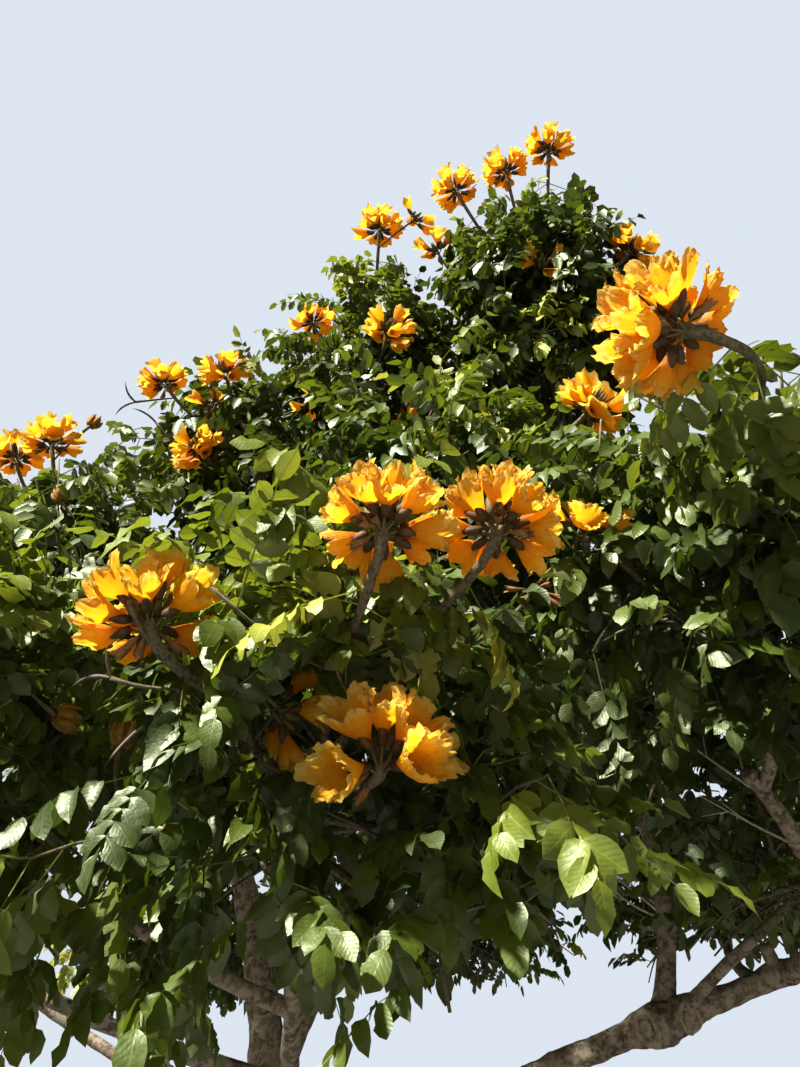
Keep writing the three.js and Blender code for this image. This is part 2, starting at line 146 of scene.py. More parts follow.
def on_map(tree):
    """The two parts of a point's place on the map across."""
    across = add_node(tree, "ShaderNodeUVMap", {"uv_map": "across"})
    part = add_node(tree, "ShaderNodeSeparateXYZ", Vector=across.outputs[0])
    return part.outputs["X"], part.outputs["Y"]


def start_group(name, inputs, outputs):
    """A shader node group with the sockets given as {name: (kind, default)} and {name: kind}."""
    group = bpy.data.node_groups.new(name, "ShaderNodeTree")
    for label, (kind, value) in inputs.items():
        socket = group.interface.new_socket(label, in_out="INPUT", socket_type=kind)
        socket.default_value = value
    for label, kind in outputs.items():
        group.interface.new_socket(label, in_out="OUTPUT", socket_type=kind)
    return group, group.nodes.new("NodeGroupInput").outputs, group.nodes.new("NodeGroupOutput")


def close_group(group, result, **outputs):
    """Links what the group puts out."""
    for label, value in outputs.items():
        group.links.new(value, result.inputs[label])
    print("group", group.name)
    return group


def place_group(tree, group, **inputs):
    """Places a node group in a material with its own values, and hands on its outputs."""
    return add_node(tree, "ShaderNodeGroup", {"node_tree": group}, **inputs).outputs


# %% [markdown]
# ## Light
#
# A tree is seen by one strong light from high on the left behind the viewer, and by a pale studio all
# round. The lamp is wide enough to soften the edges of its shadows, yet narrow enough that single
# leaves still shade each other, because that play of light is what makes a crown look deep. The studio
# gives only a weak fill, which keeps those shadows. Its walls themselves are pale, so what the viewer
# sees between the leaves is a second, brighter background.

# %% Light
LAMP_TOWARDS = Vector((-0.62, -0.58, 0.83))
LAMP_STRENGTH = 13.5
LAMP_WIDTH = math.radians(2.5)
LAMP_COLOUR = (1.0, 0.965, 0.87)
STUDIO_COLOUR = (0.97, 0.98, 0.82, 1)
STUDIO_STRENGTH = 0.13
WALL_COLOUR = (0.72, 0.79, 0.88, 1)

lamp_data = bpy.data.lights.new("key_lamp", "SUN")
lamp_data.energy = LAMP_STRENGTH
lamp_data.angle = LAMP_WIDTH
lamp_data.color = LAMP_COLOUR
lamp = bpy.data.objects.new("key_lamp", lamp_data)
lamp.rotation_mode = "QUATERNION"
lamp.rotation_quaternion = LAMP_TOWARDS.to_track_quat("Z", "Y")
bpy.context.scene.collection.objects.link(lamp)

studio = bpy.data.worlds.new("studio")
studio.use_nodes = True
tree = studio.node_tree
fill = tree.nodes["Background"]
fill.inputs["Color"].default_value = STUDIO_COLOUR
fill.inputs["Strength"].default_value = STUDIO_STRENGTH
wall = add_node(tree, "ShaderNodeBackground", Color=WALL_COLOUR)
seen_directly = add_node(tree, "ShaderNodeLightPath").outputs["Is Camera Ray"]
either = add_node(tree, "ShaderNodeMixShader", _0=seen_directly, _1=fill.outputs[0], _2=wall.outputs[0])
tree.links.new(either.outputs[0], tree.nodes["World Output"].inputs["Surface"])
bpy.context.scene.world = studio
bpy.context.scene.view_settings.view_transform = "Standard"
print("lamp", LAMP_STRENGTH, "studio", STUDIO_STRENGTH)

# %% [markdown]
# ## Mottling, one effect for all finishes
#
# Nothing that grows has one flat colour. Leaves, petals and bark all drift between two tones in soft
# patches. The effect is the same everywhere and only its size and tones change, so it is one node group:
# a noise with broad patches and finer ones in them blends from the first tone to the second.


# %% Group: mottling
def build_mottling():
    """Soft patches that drift between two tones."""
    group, given, result = start_group(
        "mottling",
        {
            "First": (COLOUR, (0.1, 0.1, 0.1, 1)),
            "Second": (COLOUR, (0.3, 0.3, 0.3, 1)),
            "Scale": (FLOAT, 5.0),
            "Spread": (FLOAT, 0.2),
        },
        {"Color": COLOUR, "Mask": FLOAT},
    )
    place = add_node(group, "ShaderNodeTexCoord").outputs["Object"]
    low = maths(group, "SUBTRACT", 0.5, given["Spread"])
    high = maths(group, "ADD", 0.5, given["Spread"])
    mask = ranged(group, clouds(group, place, given["Scale"], 5.0, 0.62), low, high)
    return close_group(
        group, result, Color=blend(group, mask, given["First"], given["Second"]), Mask=mask
    )


MOTTLING = build_mottling()

# %% [markdown]
# ## Relief of bark
#
# The bark of a young tulip tree is thin and rather smooth. Close to, it has shallow furrows along the
# limb, and hundreds of small raised pores in places. The furrows are stretched upwards, as the trunk and
# most limbs rise. The group puts out a height for the bump, a mask of its furrows, in which the finishes
# paint shade, and a mask of its pores for the colour.


# %% Group: bark relief
def build_bark_relief():
    """Shallow furrows, fine grain and raised pores."""
    group, given, result = start_group(
        "bark_relief",
        {"Scale": (FLOAT, 1.0), "Pores": (FLOAT, 1.0)},
        {"Height": FLOAT, "Furrows": FLOAT, "Pores": FLOAT},
    )
    place = add_node(group, "ShaderNodeTexCoord").outputs["Object"]
    stretched = add_node(group, "ShaderNodeMapping", Vector=place, Scale=(1.0, 1.0, 0.28)).outputs[0]
    long, even = (
        add_node(group, "ShaderNodeVectorMath", {"operation": "SCALE"}, _0=spot, _3=given["Scale"]).outputs[0]
        for spot in (stretched, place)
    )
    furrow = clouds(group, long, 26.0, 4.0, 0.6, noise_type="RIDGED_MULTIFRACTAL", normalize=False)
    furrows = ranged(group, furrow, 0.9, 1.7)
    cells = add_node(group, "ShaderNodeTexVoronoi", Vector=even, Scale=95.0, Randomness=1.0)
    dots = ranged(group, cells.outputs["Distance"], 0.3, 0.12)
    places = ranged(group, clouds(group, even, 16.0, 1.0), 0.46, 0.58)
    pores = maths(group, "MULTIPLY", maths(group, "MULTIPLY", dots, places), given["Pores"])
    height = maths(group, "MULTIPLY_ADD", clouds(group, long, 160.0, 3.0), 0.35, pores)
    height = maths(group, "MULTIPLY_ADD", furrows, -0.8, height)
    return close_group(group, result, Height=height, Furrows=furrows, Pores=pores)


BARK_RELIEF = build_bark_relief()

# %% [markdown]
# ## Veins of leaves
#
# A leaflet has a pale midrib and seven or eight side veins that sweep towards its tip, and the blade
# swells a little between them. The leaflets carry a map named `across`, which runs from stalk to tip and
# from edge to edge, so the veins are drawn in its terms: distance from the middle line for the midrib,
# and a slanted wave for the side veins. Fine crinkles in between break up the glints of the waxy skin.


# %% Group: leaf veins
def build_leaf_veins():
    """A midrib and slanted side veins in the terms of the map across."""
    group, given, result = start_group(
        "leaf_veins", {"Side Veins": (FLOAT, 8.0)}, {"Height": FLOAT, "Mask": FLOAT}
    )
    along, across = on_map(group)
    away = maths(group, "ABSOLUTE", maths(group, "SUBTRACT", across, 0.5))
    slant = maths(group, "MULTIPLY_ADD", away, -0.62, along)
    wave = maths(group, "PINGPONG", maths(group, "MULTIPLY", slant, given["Side Veins"]), 0.5)
    side = maths(group, "MULTIPLY", ranged(group, wave, 0.1, 0.0), 0.55)
    mask = maths(group, "MAXIMUM", side, ranged(group, away, 0.045, 0.012))
    swell = maths(group, "MULTIPLY_ADD", mask, -0.5, wave)
    place = add_node(group, "ShaderNodeTexCoord").outputs["Object"]
    height = maths(group, "MULTIPLY_ADD", clouds(group, place, 75.0, 2.0), 3.2, swell)
    return close_group(group, result, Height=height, Mask=mask)


LEAF_VEINS = build_leaf_veins()

# %% [markdown]
# ## Pleats of petals
#
# The wall of each flower is pleated lengthwise, like crumpled silk, with small crinkles between the
# pleats. The bottom of each fold is painted darker, a fine line of painted shade. The flowers carry the
# same kind of map, this time round the cup and along it.


# %% Group: petal pleats
def build_petal_pleats():
    """Fine lengthwise pleats that wander a little."""
    group, given, result = start_group(
        "petal_pleats", {"Pleats": (FLOAT, 30.0)}, {"Height": FLOAT, "Mask": FLOAT}
    )
    place = add_node(group, "ShaderNodeTexCoord").outputs["Object"]
    around = maths(group, "MULTIPLY_ADD", clouds(group, place, 38.0, 3.0), 0.07, on_map(group)[0])
    fold = maths(group, "PINGPONG", maths(group, "MULTIPLY", around, given["Pleats"]), 0.5)
    height = maths(group, "MULTIPLY_ADD", clouds(group, place, 150.0, 2.0), 0.9, fold)
    # The mask marks the bottom of each fold, where the petals get painted shade.
    return close_group(group, result, Height=height, Mask=ranged(group, fold, 0.22, 0.0))


PETAL_PLEATS = build_petal_pleats()

# %% [markdown]
# ## Finishes of the limbs and twigs
#
# The limbs are grey-brown with paler, almost silvery dapples of lichen, and their furrows are darkened
# with painted shade. The twigs are greener and plainer, since their bark is young. The lips of healed cuts
# are paler and a sawn end shows ochre wood. Each finish mixes its tones by the masks of the groups above
# and bends the light by their heights.


# %% Bark finishes
def toned(colour, factor):
    """A colour made darker or brighter."""
    return tuple(factor * x for x in colour[:3]) + (1,)


def start_finish(name, roughness, specular):
    """An empty finish with its main shader."""
    finish = bpy.data.materials.new(name)
    finish.use_nodes = True
    shader = finish.node_tree.nodes["Principled BSDF"]
    shader.inputs["Roughness"].default_value = roughness
    shader.inputs["Specular IOR Level"].default_value = specular
    return finish, finish.node_tree, shader


def fill_skin(tree, shader, tone, height, strength, depth):
    """Gives the main shader its tone, and a relief that bends the light."""
    tree.links.new(tone, shader.inputs["Base Color"])
    bent = add_node(tree, "ShaderNodeBump", Strength=strength, Distance=depth, Height=height)
    tree.links.new(bent.outputs[0], shader.inputs["Normal"])


def bark_finish(name, dark, pale, dapple, scale, pores, depth):
    """Bark in two tones with dapples, painted shade in its furrows, and pores."""
    finish, tree, shader = start_finish(name, 0.82, 0.25)
    ground = place_group(tree, MOTTLING, First=dark, Second=pale, Scale=13.0 * scale, Spread=0.13)
    lichen = place_group(tree, MOTTLING, Scale=31.0 * scale, Spread=0.05)
    relief = place_group(tree, BARK_RELIEF, Scale=scale, Pores=pores)
    tone = ground["Color"]
    # The furrows are darkened as painted shade. The dapples and the paler pores are the bark's own tones.
    for mask, strength, colour in (
        (lichen["Mask"], 0.62, dapple),
        (relief["Furrows"], 0.6, toned(dark, 0.42)),
        (relief["Pores"], 0.45, toned(dapple, 1.25)),
    ):
        tone = blend(tree, maths(tree, "MULTIPLY", mask, strength), tone, colour)
    fill_skin(tree, shader, tone, relief["Height"], 0.75, depth)
    return finish


LIMB_BARK = bark_finish(
    "limb_bark", (0.070, 0.047, 0.030, 1), (0.21, 0.155, 0.105, 1), (0.37, 0.32, 0.245, 1), 1.0, 1.0, 0.006
)
SCAR_BARK = bark_finish(
    "scar_bark", (0.20, 0.145, 0.095, 1), (0.36, 0.28, 0.19, 1), (0.46, 0.39, 0.30, 1), 1.5, 0.4, 0.004
)
SAWN_WOOD = bark_finish(
    "sawn_wood", (0.26, 0.15, 0.050, 1), (0.46, 0.31, 0.120, 1), (0.54, 0.42, 0.20, 1), 1.6, 0.2, 0.002
)
TWIG_BARK = bark_finish(
    "twig_bark", (0.052, 0.043, 0.022, 1), (0.125, 0.10, 0.055, 1), (0.20, 0.175, 0.115, 1), 2.6, 0.6, 0.0012
)
# The bare twigs are bleached, and their tones are painted brighter still as painted sunlight.
BLEACHED_LIT_TWIG_BARK = bark_finish(
    "bleached_twig_painted_light", (0.34, 0.28, 0.21, 1), (0.58, 0.51, 0.42, 1), (0.70, 0.64, 0.55, 1), 2.4, 0.6, 0.0012
)
print("bark finishes", LIMB_BARK.name, TWIG_BARK.name, BLEACHED_LIT_TWIG_BARK.name)

# %% [markdown]
# ## Finishes of the leaves
#
# The upper side of a leaflet is waxy: it throws back the lamp in a broad pale sheen with a hint of
# green. Some light also passes through and comes out yellow-green, which a translucent shader adds, and
# there the veins show dark. The underside has a duller tone of its own.
# The darker and the brighter copy of the green leaf are painted shade and painted light: a spray that
# would get less light takes the darker one, one that would get more the brighter one, partly by chance.
# They are separate plain finishes, dealt out twig by twig, so they stay where they are in any program
# that opens the model.


# %% Leaf finishes
SHEEN_COLOUR = (0.90, 1.0, 0.74, 1)
THROUGH_LEAF = 0.26


def let_through(tree, shader, share, colour):
    """Lets a share of the light pass through in a colour."""
    through = add_node(tree, "ShaderNodeBsdfTranslucent", Color=colour)
    both = add_node(tree, "ShaderNodeMixShader", _0=share, _1=shader.outputs[0], _2=through.outputs[0])
    tree.links.new(both.outputs[0], tree.nodes["Material Output"].inputs["Surface"])


def leaf_finish(name, dark, pale, under, glow, roughness):
    """A leaf in two close tones with veins, an underside and light that passes through."""
    finish, tree, shader = start_finish(name, roughness, 1.0)
    shader.inputs["Specular Tint"].default_value = SHEEN_COLOUR
    top = place_group(tree, MOTTLING, First=dark, Second=pale, Scale=9.0, Spread=0.25)
    veins = place_group(tree, LEAF_VEINS, Side_Veins=7.0)
    faint = maths(tree, "MULTIPLY", veins["Mask"], 0.3)
    above_side = blend(tree, faint, top["Color"], toned(pale, 1.9))
    under_side = blend(tree, faint, under, toned(under, 1.8))
    from_behind = add_node(tree, "ShaderNodeNewGeometry").outputs["Backfacing"]
    tone = blend(tree, from_behind, above_side, under_side)
    fill_skin(tree, shader, tone, veins["Height"], 0.35, 0.0011)
    let_through(tree, shader, THROUGH_LEAF, blend(tree, veins["Mask"], glow, toned(glow, 0.45)))
    return finish


# The first finish is the green leaf painted darker as painted shade, and the third is painted brighter as
# painted light. The second is the plain green and the last the yellow-green of young leaves.
LEAF_FINISHES = [
    leaf_finish(
        "leaf_painted_shade", (0.020, 0.035, 0.003, 1), (0.038, 0.058, 0.006, 1), (0.034, 0.047, 0.008, 1),
        (0.08, 0.125, 0.006, 1), 0.47,
    ),
    leaf_finish(
        "leaf_green", (0.045, 0.072, 0.006, 1), (0.083, 0.116, 0.010, 1), (0.062, 0.080, 0.014, 1),
        (0.18, 0.24, 0.010, 1), 0.47,
    ),
    leaf_finish(
        "leaf_painted_light", (0.110, 0.148, 0.012, 1), (0.168, 0.205, 0.020, 1), (0.110, 0.132, 0.026, 1),
        (0.34, 0.41, 0.020, 1), 0.48,
    ),
    leaf_finish(
        "leaf_young", (0.25, 0.285, 0.024, 1), (0.37, 0.385, 0.042, 1), (0.25, 0.27, 0.05, 1),
        (0.58, 0.60, 0.045, 1), 0.5,
    ),
]
print("leaf finishes", [finish.name for finish in LEAF_FINISHES])

# %% [markdown]
# ## Finishes of the flowers
#
# A flower is deep orange in its throat, golden orange on its wall, paler on its lobes and yellow along
# its frilled edge. The four finishes share one recipe. Behind them stand leathery brown sheaths and a
# cluster of velvety, green-brown buds, which share a second recipe.


# %% Flower finishes
THROUGH_PETAL = 0.52


def petal_finish(name, dark, pale, glow):
    """A pleated petal that lets light through."""
    finish, tree, shader = start_finish(name, 0.55, 0.3)
    ground = place_group(tree, MOTTLING, First=dark, Second=pale, Scale=44.0, Spread=0.16)
    pleats = place_group(tree, PETAL_PLEATS, Pleats=34.0)
    # The bottoms of the pleats are painted darker, as painted shade.
    line = maths(tree, "MULTIPLY", pleats["Mask"], 0.35)
    tone = blend(tree, line, ground["Color"], toned(dark, 0.7))
    fill_skin(tree, shader, tone, pleats["Height"], 0.6, 0.003)
    let_through(tree, shader, THROUGH_PETAL, glow)
    return finish


def velvet_finish(name, dark, pale, roughness):
    """Leathery or velvety skin in two tones with fine creases."""
    finish, tree, shader = start_finish(name, roughness, 0.3)
    ground = place_group(tree, MOTTLING, First=dark, Second=pale, Scale=48.0, Spread=0.18)
    crease = place_group(tree, BARK_RELIEF, Scale=3.2, Pores=0.2)
    fill_skin(tree, shader, ground["Color"], crease["Height"], 0.6, 0.002)
    return finish


PETAL_FINISHES = [
    petal_finish("petal_throat", (0.74, 0.20, 0.003, 1), (0.84, 0.30, 0.005, 1), (0.96, 0.36, 0.008, 1)),
    petal_finish("petal_wall", (0.82, 0.31, 0.004, 1), (0.89, 0.41, 0.008, 1), (0.97, 0.48, 0.010, 1)),
    petal_finish("petal_lobe", (0.84, 0.38, 0.010, 1), (0.90, 0.51, 0.026, 1), (0.98, 0.54, 0.02, 1)),
    petal_finish("petal_edge", (0.82, 0.47, 0.040, 1), (0.90, 0.68, 0.190, 1), (0.96, 0.62, 0.09, 1)),
]
SHEATH_FINISHES = [
    velvet_finish("sheath_brown", (0.040, 0.020, 0.009, 1), (0.12, 0.062, 0.024, 1), 0.6),
    velvet_finish("bud_olive", (0.075, 0.065, 0.018, 1), (0.17, 0.135, 0.045, 1), 0.7),
    velvet_finish("withered_petal", (0.14, 0.062, 0.020, 1), (0.34, 0.17, 0.060, 1), 0.75),
    velvet_finish("pod_grey", (0.055, 0.045, 0.032, 1), (0.13, 0.105, 0.075, 1), 0.6),
    # The velvet buds' golden brown is painted brighter, as painted sunlight.
    velvet_finish("bud_velvet_painted_light", (0.17, 0.078, 0.012, 1), (0.40, 0.21, 0.040, 1), 0.8),
]
SHEATH, BUD, WITHERED, POD, VELVET_PAINTED_LIGHT = 0, 1, 2, 3, 4
print("flower finishes", [finish.name for finish in PETAL_FINISHES + SHEATH_FINISHES])

# %% [markdown]
# ## The rule of growth: numbers
#
# The limbs and masses are not free shapes: they stand exactly where the CAD model has them. Its rule is
# written here again with the same named sizes, so that what grows in this lesson starts on the same
# limbs and keeps to the same room. First the limbs: where each leaves its parent, the point its bow is
# drawn towards, its tip, and its radius at root and tip.

# %% Limb sizes
TRUNK_HEIGHT = 1.35
TRUNK_TOP_RADIUS = 0.122
TRUNK_WAIST_RADIUS = 0.138
TRUNK_LEAN = 0.045
FLARE_RADIUS = 0.225
FLARE_HEIGHT = 0.25
FLARE_LOBES = 4
FLARE_LOBE_DEPTH = 0.16

LEADERS = [
    ("leader_left", "trunk", 1, (0.122, 0.044), (0.11, 0, 2.15), (-0.56, -0.04, 3.45)),
    ("limb_right", "trunk", 0.93, (0.096, 0.042), (0.95, 0.06, 1.9), (2.9, -0.86, 2.47)),
    ("limb_back", "trunk", 0.88, (0.076, 0.04), (-0.18, 0.95, 1.95), (-0.26, 2, 2.8)),
    ("limb_front", "leader_left", 0.12, (0.052, 0.032), (0.21, -0.7, 1.76), (0.24, -1.65, 2.12)),
    ("leader_middle", "leader_left", 0.3, (0.07, 0.036), (0.54, -0.06, 2.75), (0.62, -0.52, 4.45)),
    ("riser_right", "limb_right", 0.72, (0.048, 0.03), (2.13, -0.44, 2.8), (1.76, -0.6, 3.5)),
    ("limb_front_right", "limb_right", 0.88, (0.04, 0.028), (2.52, -1.38, 2.38), (1.9, -1.9, 2.78)),
]
BOUGH_SHARES = (0.35, 0.45, 0.55, 0.65, 0.75, 0.85, 0.95)
BOUGH_BENDS = (0.08, -0.08, 0.2, -0.2, 0.32, -0.32)
BOUGH_RADIUS = 0.03
BOUGH_RADIUS_PER_LENGTH = 0.0055
BOUGH_SAG = 0.1
BOUGH_THICKEST = 0.8
BOUGH_ENTRY = 0.5
BOUGH_SPACING = 0.09
BOUGH_SPACING_COST = 0.7
BOUGH_RISE = 0.45
BOUGH_SHORTEST = 0.9
BOUGH_SHORT_COST = 3
BOUGH_CLEAR = 0.06
print(len(LEADERS), "leading limbs")

# %% [markdown]
# The masses of foliage stand on four rings above each other. A swelling pushes some of a ring's masses
# out or up, which gives the crown its low front, its tower and its high back. The five heads nearest to
# the viewer each have a look of their own: how they lean, how many flowers their rings have, how far the
# lowest ring lifts, and how their stalk swings out. One stands on a shoot that comes from the side. The
# last of them has dropped most of its flowers, so the wide bells that are left are named one by one by
# the way they open.

# %% Mass sizes
TIERS = [
    ("skirt", 9, -86, 20, (0.15, 0), 2.65, 2.56, (1.16, 0.79)),
    ("shoulder", 6, -75, 0, (0.15, 0), 1.85, 3.93, (1.15, 0.93)),
    ("upper", 3, -138, 0, (0.33, -0.3), 0.95, 4.93, (1.12, 0.93)),
    ("top", 3, -52, 0, (1.0, -1.13), 0.7, 5.6, (0.84, 0.83)),
]
SWELLINGS = [
    ("skirt", -59, 28, 0.34, 0.7),
    ("skirt", -88, 60, 0, -0.21),
    ("skirt", 80, 130, 0, 0.76),
    ("shoulder", 90, 120, 0, 0.26),
    ("shoulder", -135, 50, 0, -0.15),
    ("top", -62, 60, 0, 0.19),
]
SPACE_MARGIN = 0.012
LIMB_MARGIN = 0.014
STEM_RADII = (0.024, 0.018)
STEM_SHIFTS = (0, 0.14, 0.26, 0.38)
SHOOT_RADII = (0.015, 0.009)
SHOOT_REACH = (0.42, 0.6)
BLADE_LENGTH = 0.84
GOLDEN_ANGLE = 2.39996
HEAD_RADIUS = 0.15
SPARE_HEAD_RISE = 1.3
STALK_LENGTH = 0.3
HEAD_PLACES = [
    (0.51, -3.33, 2.73), (0.79, -3.23, 2.82), (1.1, -3.64, 3.06), (-0.08, -3.02, 2.64),
    (0.53, -2.97, 2.33), (1.32, -2.56, 4.04), (1.39, -2.45, 6.61), (1.15, -2.26, 6.69),
    (0.82, -2.22, 6.49), (0.33, -2.0, 6.36), (1.87, -2.2, 5.9), (-0.15, -1.29, 6.29),
    (0.43, -1.97, 5.3), (-0.95, -1.52, 5.3), (-0.5, -1.76, 5.12), (-0.64, -1.48, 4.77),
    (-1.36, -1.7, 4.56), (-1.76, -1.35, 4.77),
]
HEAD_LOOKS = {
    HEAD_PLACES[0]: {
        "lean": (0.0, 0.22, 0.97), "rings": (9, 5), "lift": -0.12, "size": 0.97, "young": True,
    },
    HEAD_PLACES[1]: {"lean": (0.12, 0.27, 0.95), "rings": (8, 4), "lift": -0.12, "young": True},
    HEAD_PLACES[2]: {
        "lean": (-0.5, 0.42, 0.75), "rings": (9, 6, 3), "lift": -0.12, "size": 1.02,
        "swing": (0.12, 0.02, 0.02), "shift": (0.05, -0.01, 0.02), "from": (1.5, -3.38, 3.24),
    },
    HEAD_PLACES[3]: {"lean": (-0.3, 0.05, 0.95), "rings": (6, 4), "lift": 0.12, "size": 1.15, "stalk": 1.35},
    HEAD_PLACES[4]: {
        "lean": (0.05, 0.25, 0.97), "rings": (), "size": 1.15, "buds": 3, "shift": (0, 0, -0.01), "bells": [
            (-0.62, -0.54, -0.5), (-0.5, -0.8, 0.3), (0.55, -0.7, -0.4), (0.5, -0.75, 0.3),
            (0.95, -0.28, 0.05), (0.0, -0.8, 0.6),
        ],
    },
}
print(sum(tier[1] for tier in TIERS), "masses of foliage,", len(HEAD_PLACES), "heads on the seen side")

# %% [markdown]
# ## The rule of growth: curves
#
# A limb is a quadratic Bezier curve: it leaves its root towards the bow point and arrives at its tip.
# The helpers below work on whole arrays of points at once, because a crown has far too many leaves to
# handle one by one. Random draws come from a tiny generator with a seed, so every run grows the same
# tree.

# %% Curves and draws
UP = np.array([0.0, 0.0, 1.0])


def unit(way):
    """Vectors at length one."""
    way = np.asarray(way, float)
    return way / np.maximum(np.linalg.norm(way, axis=-1, keepdims=True), 1e-12)


FRAME_AXIS = unit((0.31, 0.95, -0.04))


def mix(first, second, share):
    return first + (second - first) * share


def seeded(seed):
    """A random number generator that is easy to repeat."""
    state = seed

    def draw():
        nonlocal state
        state = (state * 16807) % 2147483647
        return state / 2147483647

    return draw


def points_on(curve, shares):
    t = np.asarray(shares, float)[..., None]
    a, b, c = curve
    return (1 - t) ** 2 * a + 2 * t * (1 - t) * b + t**2 * c


def ways_on(curve, shares):
    t = np.asarray(shares, float)[..., None]
    a, b, c = curve
    return unit((1 - t) * (b - a) + t * (c - b))


def length_of(curve):
    steps = np.diff(points_on(curve, np.linspace(0, 1, 13)), axis=0)
    return float(np.linalg.norm(steps, axis=1).sum())


def sideways(along, angle):
    """A way square to along, turned round it by angle."""
    aside = unit(np.cross(along, FRAME_AXIS))
    across = np.cross(along, aside)
    angle = np.asarray(angle, float)[..., None]
    return aside * np.cos(angle) + across * np.sin(angle)


# %% [markdown]
# ## The rule of growth: limbs
#
# A limb that goes on from its parent's tip starts straight on. For keeping things apart, each limb is
# also taken as a chain of twelve tapering links, and one helper measures how far points are from them.


# %% Leading limbs
LINKS_ON_LIMB = 12


def limb_between(name, parent, at, bow, tip, radii):
    root = points_on(parent["curve"], at)
    bow = np.array(bow, float)
    if at == 1:
        bow = root + ways_on(parent["curve"], at) * np.linalg.norm(bow - root)
    curve = np.array([root, bow, np.array(tip, float)])
    return {"name": name, "parent": parent, "at": at, "curve": curve, "radii": radii}


def radius_on(limb, share):
    return mix(*limb["radii"], share)


def links_of(limb):
    """The limb as a chain of links: start, end, and the radius at each."""
    shares = np.linspace(0, 1, LINKS_ON_LIMB + 1)
    places = points_on(limb["curve"], shares)
    thick = radius_on(limb, shares)[:, None]
    return np.hstack([places[:-1], places[1:], thick[:-1], thick[1:]])


def gap_to(links, places):
    """How far each place is from the skin of the nearest link."""
    start, end = links[:, 0:3], links[:, 3:6]
    along = end - start
    lead = np.asarray(places, float)[..., None, :] - start
    share = np.clip((lead * along).sum(-1) / np.maximum((along**2).sum(-1), 1e-9), 0, 1)
    away = np.linalg.norm(lead - share[..., None] * along, axis=-1)
    return (away - mix(links[:, 6], links[:, 7], share)).min(axis=-1)


def leading_limbs():
    middle = (0, 0, TRUNK_HEIGHT / 2)
    curve = np.array([(0, 0, 0), middle, (TRUNK_LEAN, 0, TRUNK_HEIGHT)])
    radii = (TRUNK_WAIST_RADIUS, TRUNK_TOP_RADIUS)
    limbs = {"trunk": {"name": "trunk", "parent": None, "at": 0, "curve": curve, "radii": radii}}
    for name, parent, at, radii, bow, tip in LEADERS:
        limbs[name] = limb_between(name, limbs[parent], at, bow, tip, radii)
    return limbs


leaders = leading_limbs()
print("leaders", {name: round(length_of(limb["curve"]), 2) for name, limb in leaders.items()})

# %% [markdown]
# ## The rule of growth: masses
#
# A mass keeps to an ellipsoid. Where two would meet, a flat wall parts them, and each keeps to its own
# side. So a point is in a mass's room if it is inside the ellipsoid and behind all walls, and the way
# from a point to the edge of that room is a matter of a few divisions.


# %% Masses
DRAW_IN_STEPS = 20
DRAW_IN_SHARE = 0.05


def swelling_share(azimuth, turn, width):
    apart = abs((azimuth - turn + 540) % 360 - 180)
    return max(0.0, 1 - apart / width)


def mass_on_ring(tier, k):
    name, count, turn, crowd, middle, reach, height, half = tier
    even = 360 * k / count
    azimuth = turn + even - crowd * math.sin(math.radians(even))
    for owner, where, width, out, up in SWELLINGS:
        if owner == name:
            reach += out * swelling_share(azimuth, where, width)
            height += up * swelling_share(azimuth, where, width)
    x = middle[0] + reach * math.cos(math.radians(azimuth))
    y = middle[1] + reach * math.sin(math.radians(azimuth))
    centre = np.array([x, y, height])
    return {"name": f"{name}_{k + 1}", "centre": centre, "half": np.array([half[0], *half]), "heads": []}


def reach_of(mass, way):
    return 1 / np.linalg.norm(way / mass["half"])


def walls_between(mass, others):
    """The walls towards all masses that would meet this one: their ways and distances."""
    ways, limits = [], []
    for other in others:
        way = other["centre"] - mass["centre"]
        apart = np.linalg.norm(way)
        mine, theirs = reach_of(mass, way / apart), reach_of(other, way / apart)
        if mine + theirs >= apart:
            ways.append(way / apart)
            limits.append(apart * mine / (mine + theirs) - SPACE_MARGIN)
    return np.array(ways), np.array(limits)


def inside_walls(mass, place, spare):
    ways, limits = mass["walls"]
    return bool(np.all(ways @ (place - mass["centre"]) <= limits - spare))


def inside_space(mass, places, ease=0.0):
    """For each place, whether it is in the mass's room, or past its edge by no more than ease."""
    lead = np.asarray(places, float) - mass["centre"]
    ways, limits = mass["walls"]
    near = np.linalg.norm(lead / (mass["half"] + ease), axis=-1) <= 1
    return near & np.all(lead @ ways.T <= limits + ease, axis=-1)


def drawn_inside(mass, place, spare):
    """Draws a place towards the middle of the mass until it clears the walls."""
    for step in range(DRAW_IN_STEPS):
        inner = mix(mass["centre"], place, 1 - DRAW_IN_SHARE * step)
        if inside_walls(mass, inner, spare):
            return inner
    return mass["centre"].copy()


def room_along(mass, place, way):
    """How far one can go from a place inside the mass before its room ends."""
    ways, limits = mass["walls"]
    lead = (place - mass["centre"]) / mass["half"]
    stride = way / mass["half"]
    a, b, c = stride @ stride, lead @ stride, lead @ lead - 1
    room = (-b + math.sqrt(max(b * b - a * c, 0))) / a
    speed = ways @ way
    ahead = speed > 1e-6
    left = limits[ahead] - ways[ahead] @ (place - mass["centre"])
    return max(0.0, min([room, *(left / speed[ahead])]))


masses = [mass_on_ring(tier, k) for tier in TIERS for k in range(tier[1])]
for index, mass in enumerate(masses):
    mass["index"] = index
    mass["walls"] = walls_between(mass, [other for other in masses if other is not mass])
print("masses", [mass["name"] for mass in masses])

# %% [markdown]
# ## The rule of growth: flower heads and boughs
#
# The heads that the viewer sees go to the nearest masses. Every mass without one gets a head on its
# outer shoulder, unless that would stand in a neighbour. Then each mass gets its bough, which leaves the
# limb that is near and well below. Of several bows to either side it takes the first that keeps 6 cm
# clear of all other limbs, or else the one that comes nearest to that.


